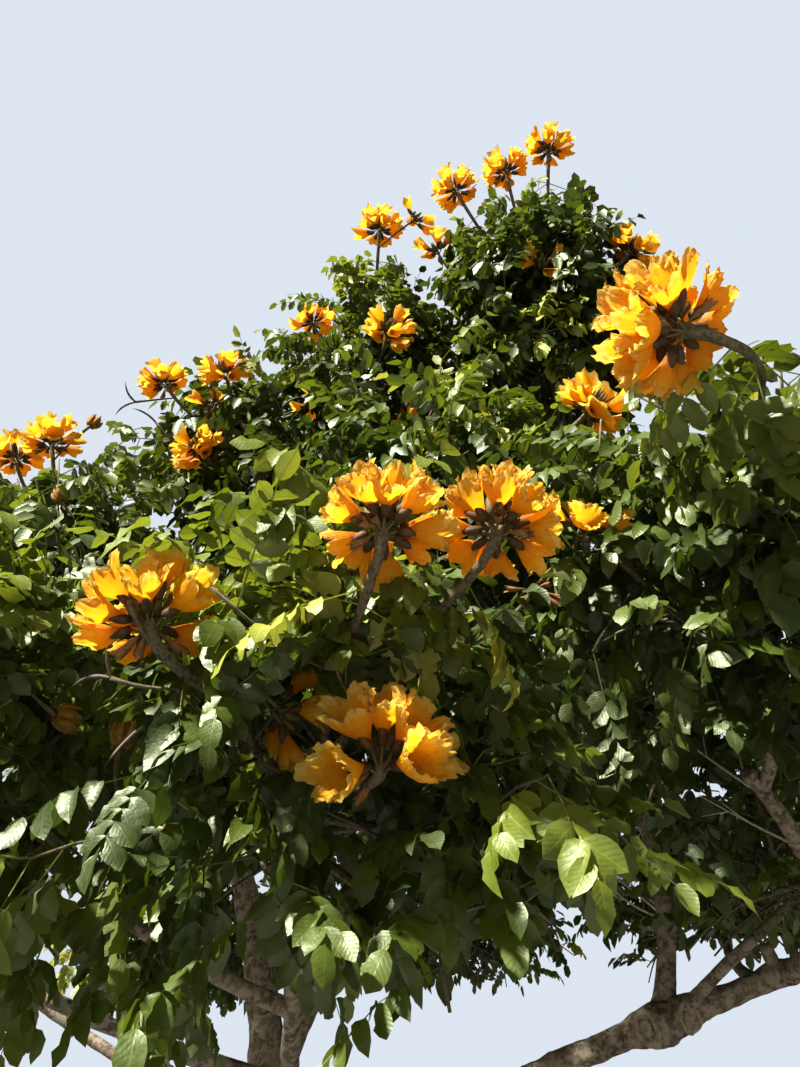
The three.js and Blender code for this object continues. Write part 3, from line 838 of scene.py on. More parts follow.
# %% Heads and boughs
def share_heads():
    for head in HEAD_PLACES:
        ways = [np.array(head) - mass["centre"] for mass in masses]
        gaps = [np.linalg.norm(way) - reach_of(mass, unit(way)) for mass, way in zip(masses, ways)]
        masses[int(np.argmin(gaps))]["heads"].append(np.array(head))
    for mass in masses:
        if not mass["heads"]:
            way = unit(unit(mass["centre"] * (1, 1, 0)) + UP * SPARE_HEAD_RISE)
            head = mass["centre"] + way * (reach_of(mass, way) + 0.6 * HEAD_RADIUS)
            if not any(inside_space(other, head) for other in masses if other is not mass):
                mass["heads"].append(head)


def bough_root(mass, taken):
    """Of all limbs and places on them, the one near the mass, well below it and not yet crowded."""
    best = (math.inf,)
    for name, parent in leaders.items():
        for at in BOUGH_SHARES if name != "trunk" else ():
            way = mass["centre"] - points_on(parent["curve"], at)
            length = np.linalg.norm(way)
            too_flat = max(0.0, BOUGH_RISE * math.hypot(way[0], way[1]) - way[2])
            crowded = sum(other == name and abs(share - at) < BOUGH_SPACING for other, share in taken)
            too_short = max(0.0, BOUGH_SHORTEST - length)
            cost = length + too_flat + BOUGH_SHORT_COST * too_short + BOUGH_SPACING_COST * crowded
            if cost < best[0]:
                best = (cost, name, at, way)
    taken.append(best[1:3])
    return best[1:]


def bough_for(mass, taken, links):
    name, at, way = bough_root(mass, taken)
    parent = leaders[name]
    root = points_on(parent["curve"], at)
    inward = -unit(way)
    entry = mass["centre"] + inward * BOUGH_ENTRY * reach_of(mass, inward)
    entry = drawn_inside(mass, entry, BOUGH_CLEAR)
    length = np.linalg.norm(entry - root)
    thick = min(BOUGH_THICKEST * radius_on(parent, at), BOUGH_RADIUS + BOUGH_RADIUS_PER_LENGTH * length)
    choices, gaps = [], []
    for bend in BOUGH_BENDS:
        bow = mix(root, entry, 0.5)
        bow += (bend * (root[1] - entry[1]), bend * (entry[0] - root[0]), -BOUGH_SAG * length)
        limb = limb_between(f"bough_{mass['name']}", parent, at, bow, entry, (thick, STEM_RADII[0]))
        shares = np.arange(0.25, 1.001, 0.05)
        free = gap_to(links, points_on(limb["curve"], shares)) - radius_on(limb, shares)
        choices.append(limb)
        gaps.append(min(BOUGH_CLEAR, free.min()))
    return choices[int(np.argmax(gaps))]


share_heads()
limb_links = {name: links_of(limb) for name, limb in leaders.items()}
boughs, taken = [], []
for mass in masses:
    bough = bough_for(mass, taken, np.vstack(list(limb_links.values())))
    limb_links[bough["name"]] = links_of(bough)
    boughs.append(bough)
all_links = np.vstack(list(limb_links.values()))
print(len(boughs), "boughs,", sum(len(mass["heads"]) for mass in masses), "heads")

# %% [markdown]
# ## Gathering a mesh
#
# Every piece is gathered in a bag: points, triangles, which finish each triangle takes, and where each
# point lies on the map `across`. When the bag is full, one call turns it into a Blender object, lets it
# ride on the tree's body, and says which CAD nodes it stands for.


# %% Bags and pieces
class Bag:
    """Collects points and triangles for one piece."""

    def __init__(self):
        self.points, self.triangles, self.kinds, self.across = [], [], [], []
        self.size = 0

    def put(self, points, triangles, kind=0, across=None):
        self.points.append(points)
        self.triangles.append(triangles + self.size)
        self.kinds.append(np.broadcast_to(kind, len(triangles)))
        self.across.append(np.zeros((len(points), 2)) if across is None else across)
        self.size += len(points)

    def put_many(self, points, triangles, kinds, across):
        """Puts one pattern many times. points is an array of (times, points of the pattern, 3)."""
        times, count, _ = points.shape
        shifted = triangles + count * np.arange(times)[:, None, None]
        every_kind = np.repeat(kinds, len(triangles))
        self.put(points.reshape(-1, 3), shifted.reshape(-1, 3), every_kind, np.tile(across, (times, 1)))


def make_piece(name, bag, finishes, nodes):
    """Turns a bag into an object that rides on the tree and stands for the named CAD nodes."""
    triangles = np.vstack(bag.triangles).astype(np.int32)
    mesh = bpy.data.meshes.new(name)
    mesh.vertices.add(bag.size)
    mesh.vertices.foreach_set("co", np.vstack(bag.points).astype(np.float32).ravel())
    mesh.loops.add(triangles.size)
    mesh.loops.foreach_set("vertex_index", triangles.ravel())
    mesh.polygons.add(len(triangles))
    mesh.polygons.foreach_set("loop_start", np.arange(0, triangles.size, 3, dtype=np.int32))
    mesh.polygons.foreach_set("material_index", np.concatenate(bag.kinds).astype(np.int32))
    mesh.polygons.foreach_set("use_smooth", np.ones(len(triangles), dtype=bool))
    across = mesh.uv_layers.new(name="across")
    across.data.foreach_set("uv", np.vstack(bag.across)[triangles.ravel()].astype(np.float32).ravel())
    for finish in finishes:
        mesh.materials.append(finish)
    mesh.update(calc_edges=True)
    mesh.validate()
    piece = bpy.data.objects.new(name, mesh)
    bpy.context.scene.collection.objects.link(piece)
    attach(piece, "root")
    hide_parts(*nodes)
    print(name, len(triangles), "triangles")


def foliage_nodes(names):
    """The CAD nodes of the named masses."""
    return [f"foliage_{name}" for name in names]


# %% [markdown]
# ## A tube, the mother of all limbs
#
# Trunk, boughs, twigs and stalks are all tubes: rings of points round a line, joined by triangles and
# closed at both ends. The rings are built as one array, with a radius for every single point, so that
# bark relief is only a matter of changing those radii.


# %% Tube
def ring_triangles(rings, sides, closed=True):
    """Triangles between neighbouring rings, and over both ends where closed."""
    ring, side = np.meshgrid(np.arange(rings - 1), np.arange(sides), indexing="ij")
    here = ring * sides + side
    beside = ring * sides + (side + 1) % sides
    walls = np.stack([here, beside, beside + sides, here, beside + sides, here + sides], axis=-1)
    walls = walls.reshape(-1, 3)
    if not closed:
        return walls
    foot, tip = rings * sides, rings * sides + 1
    turn = np.arange(sides)
    beyond = (turn + 1) % sides
    last = (rings - 1) * sides
    base = np.stack([beyond, turn, np.full(sides, foot)], axis=-1)
    lid = np.stack([last + turn, last + beyond, np.full(sides, tip)], axis=-1)
    return np.vstack([walls, base, lid])


def turns_of(sides):
    return 2 * np.pi * np.arange(sides) / sides


def skin_round(places, ways, thick):
    """Points on the skin round a line, and the ways out of it. thick has a radius per ring and side."""
    out = sideways(ways[:, None, :], np.broadcast_to(turns_of(thick.shape[1]), thick.shape))
    return places[:, None, :] + out * thick[..., None], out


def tube(places, ways, thick):
    """A closed tube."""
    skin, _ = skin_round(places, ways, thick)
    points = np.vstack([skin.reshape(-1, 3), places[0], places[-1]])
    return points, ring_triangles(*thick.shape)


def round_tube(curve, shares, radii, sides):
    """A tube along a curve with one radius for every ring."""
    thick = np.repeat(radii[:, None], sides, axis=1)
    return tube(points_on(curve, shares), ways_on(curve, shares), thick)


def rod_along(bag, curve, radii, sides, steps, kind=0):
    """A plain tapering tube along a curve, for twigs and stalks."""
    shares = np.linspace(0, 1, steps + 1)
    bag.put(*round_tube(curve, shares, mix(*radii, shares), sides), kind)


# %% [markdown]
# ## Trunk and limbs with bark relief
#
# Where a limb leaves its parent the wood swells into a collar, and along it the skin is never a true
# cylinder: it has long shallow ribs, lumps, and the round scars of old cuts. All of these are added to
# the radius of every point. The lumps come from noise in space, so they run on from the trunk into the
# leader above it without a seam. The trunk's foot spreads into four low buttresses and ends in a flat
# cut at ground level. The right limb has a knotted swelling under its riser, with two healed cuts in it.
# A healed cut is a dish with a raised lip and one ring inside the other, so the mesh is finer there.

# %% Limb skin
RING_SPACING = 0.023
COLLAR_SWELLING = 0.42
COLLAR_LENGTH = 0.75
LUMP_DEPTH = 0.18
GRAIN_DEPTH = 0.006
RIB_DEPTH = 0.06
RIBS_ROUND = 2.1
RIBS_ALONG = 0.55
KNOT_DEPTH = 0.35
SCAR_REACH = 0.07
SCAR_RINGS = 17
SCARS = [
    ("leader_left", 0.06, -110, 0, 0.034),
    ("leader_left", 0.45, -84, 0, 0.036),
    ("limb_right", 0.42, -95, 10, 0.030),
    ("limb_right", 0.70, -107, -6, 0.046),
    ("limb_right", 0.755, -100, -30, 0.042),
    ("limb_back", 0.35, 90, 0, 0.030),
    ("trunk", 0.62, 150, 0, 0.040),
]
BURRS = [
    ("limb_right", 0.72, -100, -50, 0.12, 0.046),
    ("limb_right", 0.87, -90, 60, 0.07, 0.024),
    ("leader_left", 0.2, 120, 0, 0.11, 0.022),
    ("limb_back", 0.5, -60, -40, 0.09, 0.020),
]


def facing_from(azimuth, rise, way):
    """The way square to a limb that is nearest to a bearing and a rise, both in degrees."""
    turn, lift = math.radians(azimuth), math.radians(rise)
    facing = np.array([math.cos(lift) * math.cos(turn), math.cos(lift) * math.sin(turn), math.sin(lift)])
    return unit(facing - way * (facing @ way))


def spot_on(limb, share, azimuth, rise):
    """A spot on the limb's skin, and the way out of the skin there."""
    out = facing_from(azimuth, rise, ways_on(limb["curve"], share))
    return points_on(limb["curve"], share) + out * radius_on(limb, share), out


def lumps(places, scale, octaves):
    """Noise in space for an array of places."""
    flat = places.reshape(-1, 3) * scale
    values = [noise.fractal(Vector(place), 1.0, 2.0, octaves) for place in flat]
    return np.array(values).reshape(places.shape[:-1])


def collar(limb, run):
    """The swelling at the root, where the limb grows out of its parent."""
    if limb["parent"] is None or limb["at"] == 1:
        return np.zeros_like(run)
    around = radius_on(limb["parent"], limb["at"])
    past = np.maximum(run - around, 0)
    root = limb["radii"][0]
    return COLLAR_SWELLING * root * np.exp(-past / (COLLAR_LENGTH * root + 0.01))


def buttress(share, turns):
    """The spread of the trunk's foot."""
    flare = np.exp(-share * TRUNK_HEIGHT / FLARE_HEIGHT)[:, None]
    lobes = 1 + FLARE_LOBE_DEPTH * flare * np.cos(FLARE_LOBES * turns)
    return (FLARE_RADIUS - TRUNK_WAIST_RADIUS) * flare, lobes


def ring_shares(limb, length):
    """Where the rings of the mesh stand: evenly, and closer together at each scar."""
    near = SCAR_REACH / length
    shares = [np.linspace(0, 1, max(8, int(length / RING_SPACING)))]
    for owner, share, *_ in SCARS:
        if owner == limb["name"]:
            shares.append(np.linspace(max(0, share - near), min(1, share + near), SCAR_RINGS))
    return np.unique(np.concatenate(shares).round(4))


def add_scars(limb, skin, thick):
    """Round scars of old cuts: a lip round a dish with a ring in it. Also tells which points are pale."""
    pale = np.zeros(thick.shape, dtype=bool)
    for owner, share, azimuth, rise, size in SCARS:
        if owner == limb["name"]:
            away = np.linalg.norm(skin - spot_on(limb, share, azimuth, rise)[0], axis=-1) / size
            lip = 0.46 * np.exp(-(((away - 1) / 0.24) ** 2))
            ring = 0.2 * np.exp(-(((away - 0.45) / 0.16) ** 2))
            dish = 0.36 * np.exp(-(away**4))
            mound = 0.3 * np.exp(-((away / 2.2) ** 2))
            thick = thick + size * (lip + ring - dish + mound)
            pale |= (np.abs(away - 1) < 0.2) | (away < 0.5)
    return thick, pale


def add_burrs(limb, skin, thick):
    """Knotted swellings."""
    for owner, share, azimuth, rise, size, height in BURRS:
        if owner == limb["name"]:
            away = np.linalg.norm(skin - spot_on(limb, share, azimuth, rise)[0], axis=-1) / size
            knots = 1 + KNOT_DEPTH * lumps(skin, 14.0, 2)
            thick = thick + height * knots * np.exp(-(away**2))
    return thick


def limb_piece(limb, sides):
    """One limb as a piece with its relief."""
    length = length_of(limb["curve"])
    shares = ring_shares(limb, length)
    places, ways = points_on(limb["curve"], shares), ways_on(limb["curve"], shares)
    thick = np.repeat((radius_on(limb, shares) + collar(limb, shares * length))[:, None], sides, axis=1)
    if limb["name"] == "trunk":
        spread, lobes = buttress(shares, turns_of(sides))
        thick = (thick + spread) * lobes
    skin, out = skin_round(places, ways, thick)
    grain = min(1, 12 * limb["radii"][0]) * GRAIN_DEPTH
    thick = thick * (1 + LUMP_DEPTH * lumps(skin, 3.2, 3)) + grain * lumps(skin, 17.0, 4)
    stretched = (out[..., 0] * RIBS_ROUND, out[..., 1] * RIBS_ROUND, skin[..., 2] * RIBS_ALONG)
    ribs = lumps(np.stack(stretched, axis=-1), 1.0, 2)
    thick = add_burrs(limb, skin, thick * (1 + RIB_DEPTH * ribs))
    thick, pale = add_scars(limb, skin, thick)
    points, triangles = tube(places, ways, thick)
    if limb["name"] == "trunk":
        points[:, 2] = np.maximum(points[:, 2], 0)
        points[:sides, 2] = 0
    healed = np.append(pale.ravel(), [False, False])[triangles].sum(axis=1) > 1
    bag = Bag()
    bag.put(points, triangles, healed.astype(int))
    make_piece(f"bark_{limb['name']}", bag, [LIMB_BARK, SCAR_BARK], [limb["name"]])


THICK_LIMB = 0.08
SIDES_THICK, SIDES_THIN, SIDES_BOUGH = 48, 30, 14
for limb in leaders.values():
    limb_piece(limb, SIDES_THICK if limb["radii"][0] > THICK_LIMB else SIDES_THIN)
for bough in boughs:
    limb_piece(bough, SIDES_BOUGH)

# %% [markdown]
# ## Stems and shoots
#
# Inside its mass the bough goes on as a stem that bends past any limb in its way. Shoots leave the
# stem's outer half for places spread evenly round the middle of the mass. The first of them are the
# CAD model's own, and some end under flower heads. The same rule then simply goes on counting, which
# gives as many further shoots as a full crown needs.

# %% Shoots
SHOOTS_IN_ALL = 12
EXTRA_SHOOTS = {"skirt_1": 5, "skirt_2": 5, "skirt_9": 4, "top_1": 3, "top_3": 5}
SHOOT_SPACING = 0.22
SHOOT_CROOK = 0.12
SHOOT_SPARE = 0.3
HEAD_SHOOT_SPARE = 0.04
HEAD_AXIS_RISE = 0.5
HEAD_SHOOT_REACH = 0.8
STALK_BEND = 0.12
STALK_SINK = 0.01
STEM_BOW = 0.35
STEM_REACH = 0.85


def bent_line(start, end, sag, draw):
    """A slightly crooked curve between two places."""
    middle = mix(start, end, 0.5) + np.array([draw() - 0.5, draw() - 0.5, draw() - 0.5]) * sag
    return np.array([start, middle, end])


def head_axis(shoot):
    """The way a head faces: as its look says, or on from its shoot and a little more upright."""
    if "lean" in shoot["look"]:
        return unit(shoot["look"]["lean"])
    return unit(unit(shoot["head"] - shoot["tip"]) + UP * HEAD_AXIS_RISE)


def head_stalk(shoot):
    """The bare stalk from the shoot's tip into the head."""
    axis = head_axis(shoot)
    bow = shoot["head"] - axis * STALK_BEND + shoot["look"].get("swing", (0, 0, 0))
    return np.array([shoot["tip"], bow, shoot["head"] - axis * STALK_SINK])


def even_way(index):
    """Even ways out from a middle, however many of them are taken."""
    turn = 2 * math.pi * ((0.5 + 0.7548776662 * (index + 1)) % 1)
    rise = 1 - 2 * ((0.5 + 0.569840291 * (index + 1)) % 1)
    flat = math.sqrt(1 - rise * rise)
    return np.array([flat * math.cos(turn), flat * math.sin(turn), rise])


def shoot_tip(mass, index):
    draw = seeded(7919 * (mass["index"] + 1) + 104729 * (index + 1))
    way = even_way(index) * mass["half"] * mix(*SHOOT_REACH, draw())
    return drawn_inside(mass, mass["centre"] + way, SHOOT_SPARE * BLADE_LENGTH)


def head_shoot_tip(mass, head):
    """A head's shoot ends one bare stalk short of the head."""
    way = head - mass["centre"]
    room = HEAD_SHOOT_REACH * reach_of(mass, unit(way))
    length = min(room, np.linalg.norm(way) - STALK_LENGTH)
    return drawn_inside(mass, mass["centre"] + unit(way) * length, HEAD_SHOOT_SPARE)


def stem_curve(mass, bough):
    """From the bough's tip straight on, then to the middle of the mass or past any limb there."""
    others = np.vstack([links for name, links in limb_links.items() if name != bough["name"]])
    along = ways_on(bough["curve"], 1.0)
    start = bough["curve"][2]
    bow = start + along * STEM_BOW * np.linalg.norm(mass["centre"] - start)
    hub = mix(start, mass["centre"], STEM_REACH)
    curves = [
        np.array([start, bow, hub + sideways(along, turn) * shift])
        for shift in STEM_SHIFTS
        for turn in range(6)
    ]
    for curve in curves:
        if np.all(gap_to(others, points_on(curve, np.linspace(0, 1, 7))) > STEM_RADII[0] + LIMB_MARGIN):
            return curve
    return curves[0]


def shoots_of(mass, stem):
    """Shoots under the heads first, then shoots spread evenly."""
    shoots = []
    heads = mass["heads"]
    looks = [HEAD_LOOKS.get(tuple(head), {}) for head in heads]
    tips = [np.array(look.get("from", head_shoot_tip(mass, head))) for look, head in zip(looks, heads)]
    wanted = SHOOTS_IN_ALL + len(heads) // 2 + EXTRA_SHOOTS.get(mass["name"], 0)
    tips += [shoot_tip(mass, index) for index in range(wanted - len(tips))]
    for index, tip in enumerate(tips):
        draw = seeded(6841 * (mass["index"] + 1) + 15485 * (index + 1))
        root = points_on(stem, mix(0.5, 1, draw()))
        turn = 2 * math.pi * draw()
        look = looks[index] if index < len(looks) else {}
        head = heads[index] + np.array(look.get("shift", (0, 0, 0))) if index < len(heads) else None
        apart = all(np.linalg.norm(shoot["tip"] - tip) > SHOOT_SPACING for shoot in shoots)
        way_there = mix(root, tip, np.linspace(0, 1, 24)[:, None])
        clear = gap_to(all_links, way_there).min() > SHOOT_RADII[0] + LIMB_MARGIN
        if (head is not None or apart) and clear:
            curve = bent_line(root, tip, SHOOT_CROOK * np.linalg.norm(tip - root), draw)
            shoots.append({
                "tip": tip, "curve": curve, "along": unit(tip - root), "turn": turn,
                "head": head, "look": look,
            })
    return shoots


for mass, bough in zip(masses, boughs):
    mass["stem"] = stem_curve(mass, bough)
    mass["shoots"] = shoots_of(mass, mass["stem"])
print(sum(len(mass["shoots"]) for mass in masses), "shoots")

# %% [markdown]
# ## Twigs
#
# Each shoot branches into twigs where the CAD model has its blades. A twig runs out towards the edge of
# the mass's room and stops short of it by about one leaf. It starts away from the shoot and then turns
# upwards to the light, but the lowest ones of the skirt are weighed down and hang. A twig that finds no
# room is left out. Under a flower head the leaves go on up the lower part of its stalk and spread wide.

# %% Twigs
TWIGS_ON_SHOOT = 5
TWIG_LENGTH = (0.1, 0.5)
TWIG_RADII = (0.0065, 0.0042)
TWIG_ROOTS = (0.38, 0.9)
TWIG_GAP = 0.03
LEAF_ROOM = 0.3
TWIG_RISE = 0.45
HANGING_RISE = -0.5
TWIG_FORWARD = 0.45
TWIG_LIFT = 0.27
LAST_TWIG_ASIDE = 0.25
LEAFY_STALK = 0.6
STALK_LEAF_SPREAD = 0.6
STALK_LEAF_EASE = 0.2
LEAF_EASE = 0.04
TOP_EASE = 0.1


def rise_of(mass, shoot):
    """How much the twigs turn up, or down where they hang."""
    low = mass["name"].startswith("skirt") and shoot["tip"][2] < mass["centre"][2]
    return HANGING_RISE if low else TWIG_RISE


def twig_way(shoot, n, rise):
    """The way in which a twig leaves its shoot. The last one goes nearly straight on."""
    side = sideways(shoot["along"], shoot["turn"] + n * GOLDEN_ANGLE)
    if n == TWIGS_ON_SHOOT:
        return unit(shoot["along"] + LAST_TWIG_ASIDE * side)
    return unit(TWIG_FORWARD * shoot["along"] + side + TWIG_LIFT * rise * UP)


def leafy_stalk(shoot, draw):
    """The lower part of a head's stalk, taken as a twig that carries leaves."""
    curve = head_stalk(shoot)
    start, middle, end = points_on(curve, np.array([0, LEAFY_STALK / 2, LEAFY_STALK]))
    line = np.array([start, 2 * middle - (start + end) / 2, end])
    young = shoot["look"].get("young", False)
    look = {"ease": STALK_LEAF_EASE, "young": young, "spread": STALK_LEAF_SPREAD}
    return {"curve": line, "length": TWIG_LENGTH[1] / 2, "turn": 6.3 * draw(), **look}


def twigs_of(mass, shoot, draw):
    """The twigs of one shoot as curves with their own seeds."""
    twigs, rise = [], rise_of(mass, shoot)
    ease = TOP_EASE if mass["name"].startswith("top") else LEAF_EASE
    for n in range(TWIGS_ON_SHOOT + 1):
        last = n == TWIGS_ON_SHOOT
        share = 0.98 if last else mix(*TWIG_ROOTS, (n + 0.4 * draw()) / TWIGS_ON_SHOOT)
        root = points_on(shoot["curve"], share)
        way = twig_way(shoot, n, rise)
        spare = LEAF_ROOM * mix(0.7, 1.1, draw()) * (1 if rise > 0 else 0.5)
        length = min(room_along(mass, root, way) - spare, mix(*TWIG_LENGTH, mix(0.45, 1, draw())))
        if last and shoot["head"] is not None:
            twigs.append(leafy_stalk(shoot, draw))
            continue
        if length < TWIG_LENGTH[0]:
            continue
        bow = root + way * length * 0.55
        tip = bow + unit(way + UP * rise) * length * 0.5
        if gap_to(all_links, np.array([bow, tip])).min() < TWIG_GAP:
            continue
        curve = np.array([root, bow, tip])
        look = {"ease": ease, "young": False, "spread": 0.0}
        twigs.append({"curve": curve, "length": length, "turn": 6.3 * draw(), **look})
    return twigs


for mass in masses:
    draw = seeded(31 * mass["index"] + 977)
    for shoot in mass["shoots"]:
        shoot["twigs"] = twigs_of(mass, shoot, draw)
print(sum(len(shoot["twigs"]) for mass in masses for shoot in mass["shoots"]), "twigs")

# %% [markdown]
# ## Where the leaves sit
#
# The leaves are feathery: a bare stalk, then four to six pairs of leaflets and one at the tip. They
# stand in whorls of three near the end of the twig. Those of the top whorl point forward and the lower
# ones stand out and hang. Each leaf is kept as one row of numbers for now: base, way, length, droop,
# roll, number of pairs, leaflet size, tone, and how much the leaflets hang. The tone is painted light
# and shade: sprays on the outside, higher up and in masses that get more light take the brighter
# finish, those deep inside the darker one, with some chance in it.

# %% Leaf rows
LONG_TWIG = 0.22
WHORL_SPACING = 0.075
WHORL_TURN, HALF_WHORL_TURN = 2.0944, 1.0472
WHORL_OPENING = 0.42
WHORL_DROOP = 0.25
MISSING_SHARE = 0.22
LEAF_LENGTH = (0.27, 0.38)
LEAF_OPENING = (0.55, 0.85)
LEAF_DROOP = (0.35, 1.0)
LEAF_ROLL = 0.9
LEAFLET_LENGTH = (0.070, 0.102)
LEAFLET_HANG = (0.15, 1.0)
# The darker and brighter leaf tones stand for painted shade and painted light.
PAINTED_SHADE, GREEN, PAINTED_LIGHT, YOUNG = 0, 1, 2, 3
YOUNG_SHARE = 0.045
YOUNG_FROM = 0.6
PAINTED_LIGHT_FROM = 1.09
GREEN_FROM = 0.76
LIGHT_OUTSIDE, LIGHT_ABOVE, LIGHT_BY_CHANCE = 0.7, 0.25, 0.62
LIT_MASSES = {"skirt_9": 0.36, "skirt_1": 0.18}


def tone_of(mass, place, draw):
    """Young sprays at tips, painted light on outer and higher sprays, painted shade inside: an index of
    LEAF_FINISHES.
    """
    outward = np.linalg.norm((place - mass["centre"]) / mass["half"])
    higher = place[2] - mass["centre"][2]
    light = outward * LIGHT_OUTSIDE + LIGHT_ABOVE * higher + LIGHT_BY_CHANCE * draw()
    light += LIT_MASSES.get(mass["name"], 0)
    if draw() < YOUNG_SHARE and outward > YOUNG_FROM:
        return YOUNG
    return PAINTED_LIGHT if light > PAINTED_LIGHT_FROM else GREEN if light > GREEN_FROM else PAINTED_SHADE


def leaves_on(mass, twig, draw):
    """The leaves of one twig, one row each."""
    rows = []
    whorls = 3 if twig["length"] > LONG_TWIG else 2
    tone = YOUNG if twig["young"] else tone_of(mass, twig["curve"][2], draw)
    for whorl in range(whorls):
        share = max(0.1, 0.99 - whorl * WHORL_SPACING / twig["length"] * mix(0.8, 1.4, draw()))
        base, along = points_on(twig["curve"], share), ways_on(twig["curve"], share)
        for n in range(3):
            if whorl > 0 and draw() < MISSING_SHARE:
                continue
            opening = mix(*LEAF_OPENING, draw()) + WHORL_OPENING * whorl + twig["spread"]
            turn = twig["turn"] + n * WHORL_TURN + whorl * HALF_WHORL_TURN + 0.5 * (draw() - 0.5)
            way = unit(along * math.cos(opening) + sideways(along, turn) * math.sin(opening))
            length = mix(*LEAF_LENGTH, draw())
            droop = mix(*LEAF_DROOP, draw()) + WHORL_DROOP * whorl
            pairs = 4 + int(draw() * 2.4)
            size = mix(*LEAFLET_LENGTH, draw())
            hang = mix(*LEAFLET_HANG, draw())
            rows.append([*base, *way, length, droop, LEAF_ROLL * (draw() - 0.5), pairs, size, tone, hang])
    return rows


def all_leaves(mass):
    """The leaves that fit. A twig left without any is taken off again, and so is a shoot in a clear view."""
    draw = seeded(7 * mass["index"] + 4441)
    kept = []
    shoots = mass["shoots"]
    in_view = [shoot["head"] is None and gap_to(clear_views, shoot["tip"]) <= 0 for shoot in shoots]
    mass["shoots"] = [shoot for shoot, hidden in zip(shoots, in_view) if not hidden]
    for shoot in mass["shoots"]:
        for twig in shoot["twigs"]:
            rows = np.array(leaves_on(mass, twig, draw))
            twig["leaves"] = rows[leaf_fits(mass, rows, twig["ease"])]
            kept.append(twig["leaves"])
        shoot["twigs"] = [twig for twig in shoot["twigs"] if len(twig["leaves"])]
    return np.vstack(kept)


# %% [markdown]
# A leaf bends down under its own weight along a second small curve. Its tip and its sides must still be
# in the room of its mass, and its middle and tip clear of the limbs, or the leaf is left out. Its length,
# droop, roll and the size of its leaflets are columns of its row, which the helpers take by number.


# %% Leaf curves
LEAF_GAP = 0.02


def leaf_line(rows, shares):
    """Places and ways at a share of each leaf's length."""
    base, way, length, droop = rows[:, 0:3], rows[:, 3:6], rows[:, 6:7], rows[:, 7:8]
    bow = base + way * length * 0.5
    tip = bow + unit(way - UP * droop) * length * 0.5
    t = np.asarray(shares, float).reshape(-1, 1)
    places = (1 - t) ** 2 * base + 2 * t * (1 - t) * bow + t**2 * tip
    return places, unit((1 - t) * (bow - base) + t * (tip - bow))


def leaf_side(rows):
    """The level way across each leaf, turned a little by its roll."""
    way, roll = rows[:, 3:6], rows[:, 8:9]
    side = np.cross(way, UP)
    steep = np.linalg.norm(side, axis=1, keepdims=True) < 0.15
    side = unit(np.where(steep, np.cross(way, FRAME_AXIS), side))
    return unit(side * np.cos(roll) + np.cross(way, side) * np.sin(roll))


def leaf_fits(mass, rows, ease):
    """Whether each leaf keeps to its room, the clear views, the hem and the lit part of the crown."""
    size, hang = rows[:, 10:11], rows[:, 12]
    end, along = leaf_line(rows, np.ones(len(rows)))
    end = end + along * 0.6 * size
    middle = leaf_line(rows, np.full(len(rows), 0.6))[0]
    side = leaf_side(rows) * 0.8 * size
    fits = np.all([inside_space(mass, place, ease) for place in (end, middle + side, middle - side)], axis=0)
    fits &= np.all([gap_to(clear_views, place) > 0 for place in (rows[:, 0:3], middle, end)], axis=0)
    fits &= np.all([gap_to(all_links, place) > LEAF_GAP for place in (end, middle)], axis=0)
    fits &= end[:, 2] - 0.6 * size[:, 0] * hang > hem_under(end)
    return fits & (np.linalg.norm((middle - SHADE_MIDDLE) / SHADE_HALF, axis=1) > 1)


# %% [markdown]
# The crown is kept open where the real one is. Flowers stand proud of the leaves, so a leaf that would
# crowd a head or hang right before it is left out, and so is one before a small bloom, a horn or the foot
# of the left leader. The same kind of tapering room stays open over the right shoulder, in the valley
# beside the highest of the near heads, above the left one of them, and along the limb that reaches to the
# front at the right and its bare twig. A round one stays open about the viewer.
#
# The lower edge of the crown, its hem, isn't level: it rises to the back and to the right, where one
# looks in under the leaves at the bare limbs. And a tree sheds the leaves in the deep shade of its
# middle, where no light reaches them.

# %% Clear views and hem
HEAD_CLEARANCE = 0.14
HEAD_VIEW = (0.14, 0.04)
BARE_VIEW = (0.14, 0.055)
BLOOM_VIEW = (0.09, 0.03)
SMALL_VIEW = (0.06, 0.02)
OPEN_VIEW = (0.13, 0.06)
LIMB_VIEW = (0.1, 0.04)
BELLS_VIEW = (0.16, 0.06)
VIEWER_ROOM = 1.62
VIEW_SHARE = 0.8
BARE_LEADER_SHARES = (0.32, 0.4, 0.48, 0.56, 0.64)
BARE_LIMB_SHARES = (0.6, 0.7, 0.8, 0.9, 1.0)
OPEN_AT = [(1.55, -3.44, 3.70), (1.73, -3.36, 3.76)]
VALLEY_AT = [(1.79, -2.57, 4.05)]
BLOOMS_AT = [
    (0.26, -2.8, 2.51), (0.56, -2.1, 6.33), (0.71, -2.03, 6.09), (0.07, -1.35, 6.2), (-0.59, -1.6, 5.0),
    (-0.04, -1.4, 5.31), (0.55, -1.62, 5.11), (1.31, -2.21, 5.68), (1.09, -2.94, 3.08),
]
BUDS_AT = [(-0.43, -2.59, 2.57), (-0.22, -2.59, 2.49), (-1.08, -1.88, 4.0), (-1.2, -1.69, 4.72)]
HORNS_AT = [
    (-0.12, -3.08, 2.66), (-0.22, -2.8, 2.59), (-0.11, -2.73, 2.5), (-1.06, -1.58, 5.05),
    (-0.9, -1.57, 4.89), (0.3, -2.79, 2.34), (1.01, -2.15, 6.24), (-0.21, -1.5, 5.12),
]
SPENT_AT = [(0.94, -2.9, 2.88)]
FREE_AT = [(-0.04, -3.12, 2.76), (0.03, -3.1, 2.73), (1.72, -1.53, 3.25), (1.87, -1.65, 2.99)]
HEM_HEIGHT = 1.93
HEM_RISE = 0.2
HEM_FRONT = 3.2
HEM_HIGHEST = 2.72
HEM_DROP = 0.62
HEM_DROP_FROM = 1.05
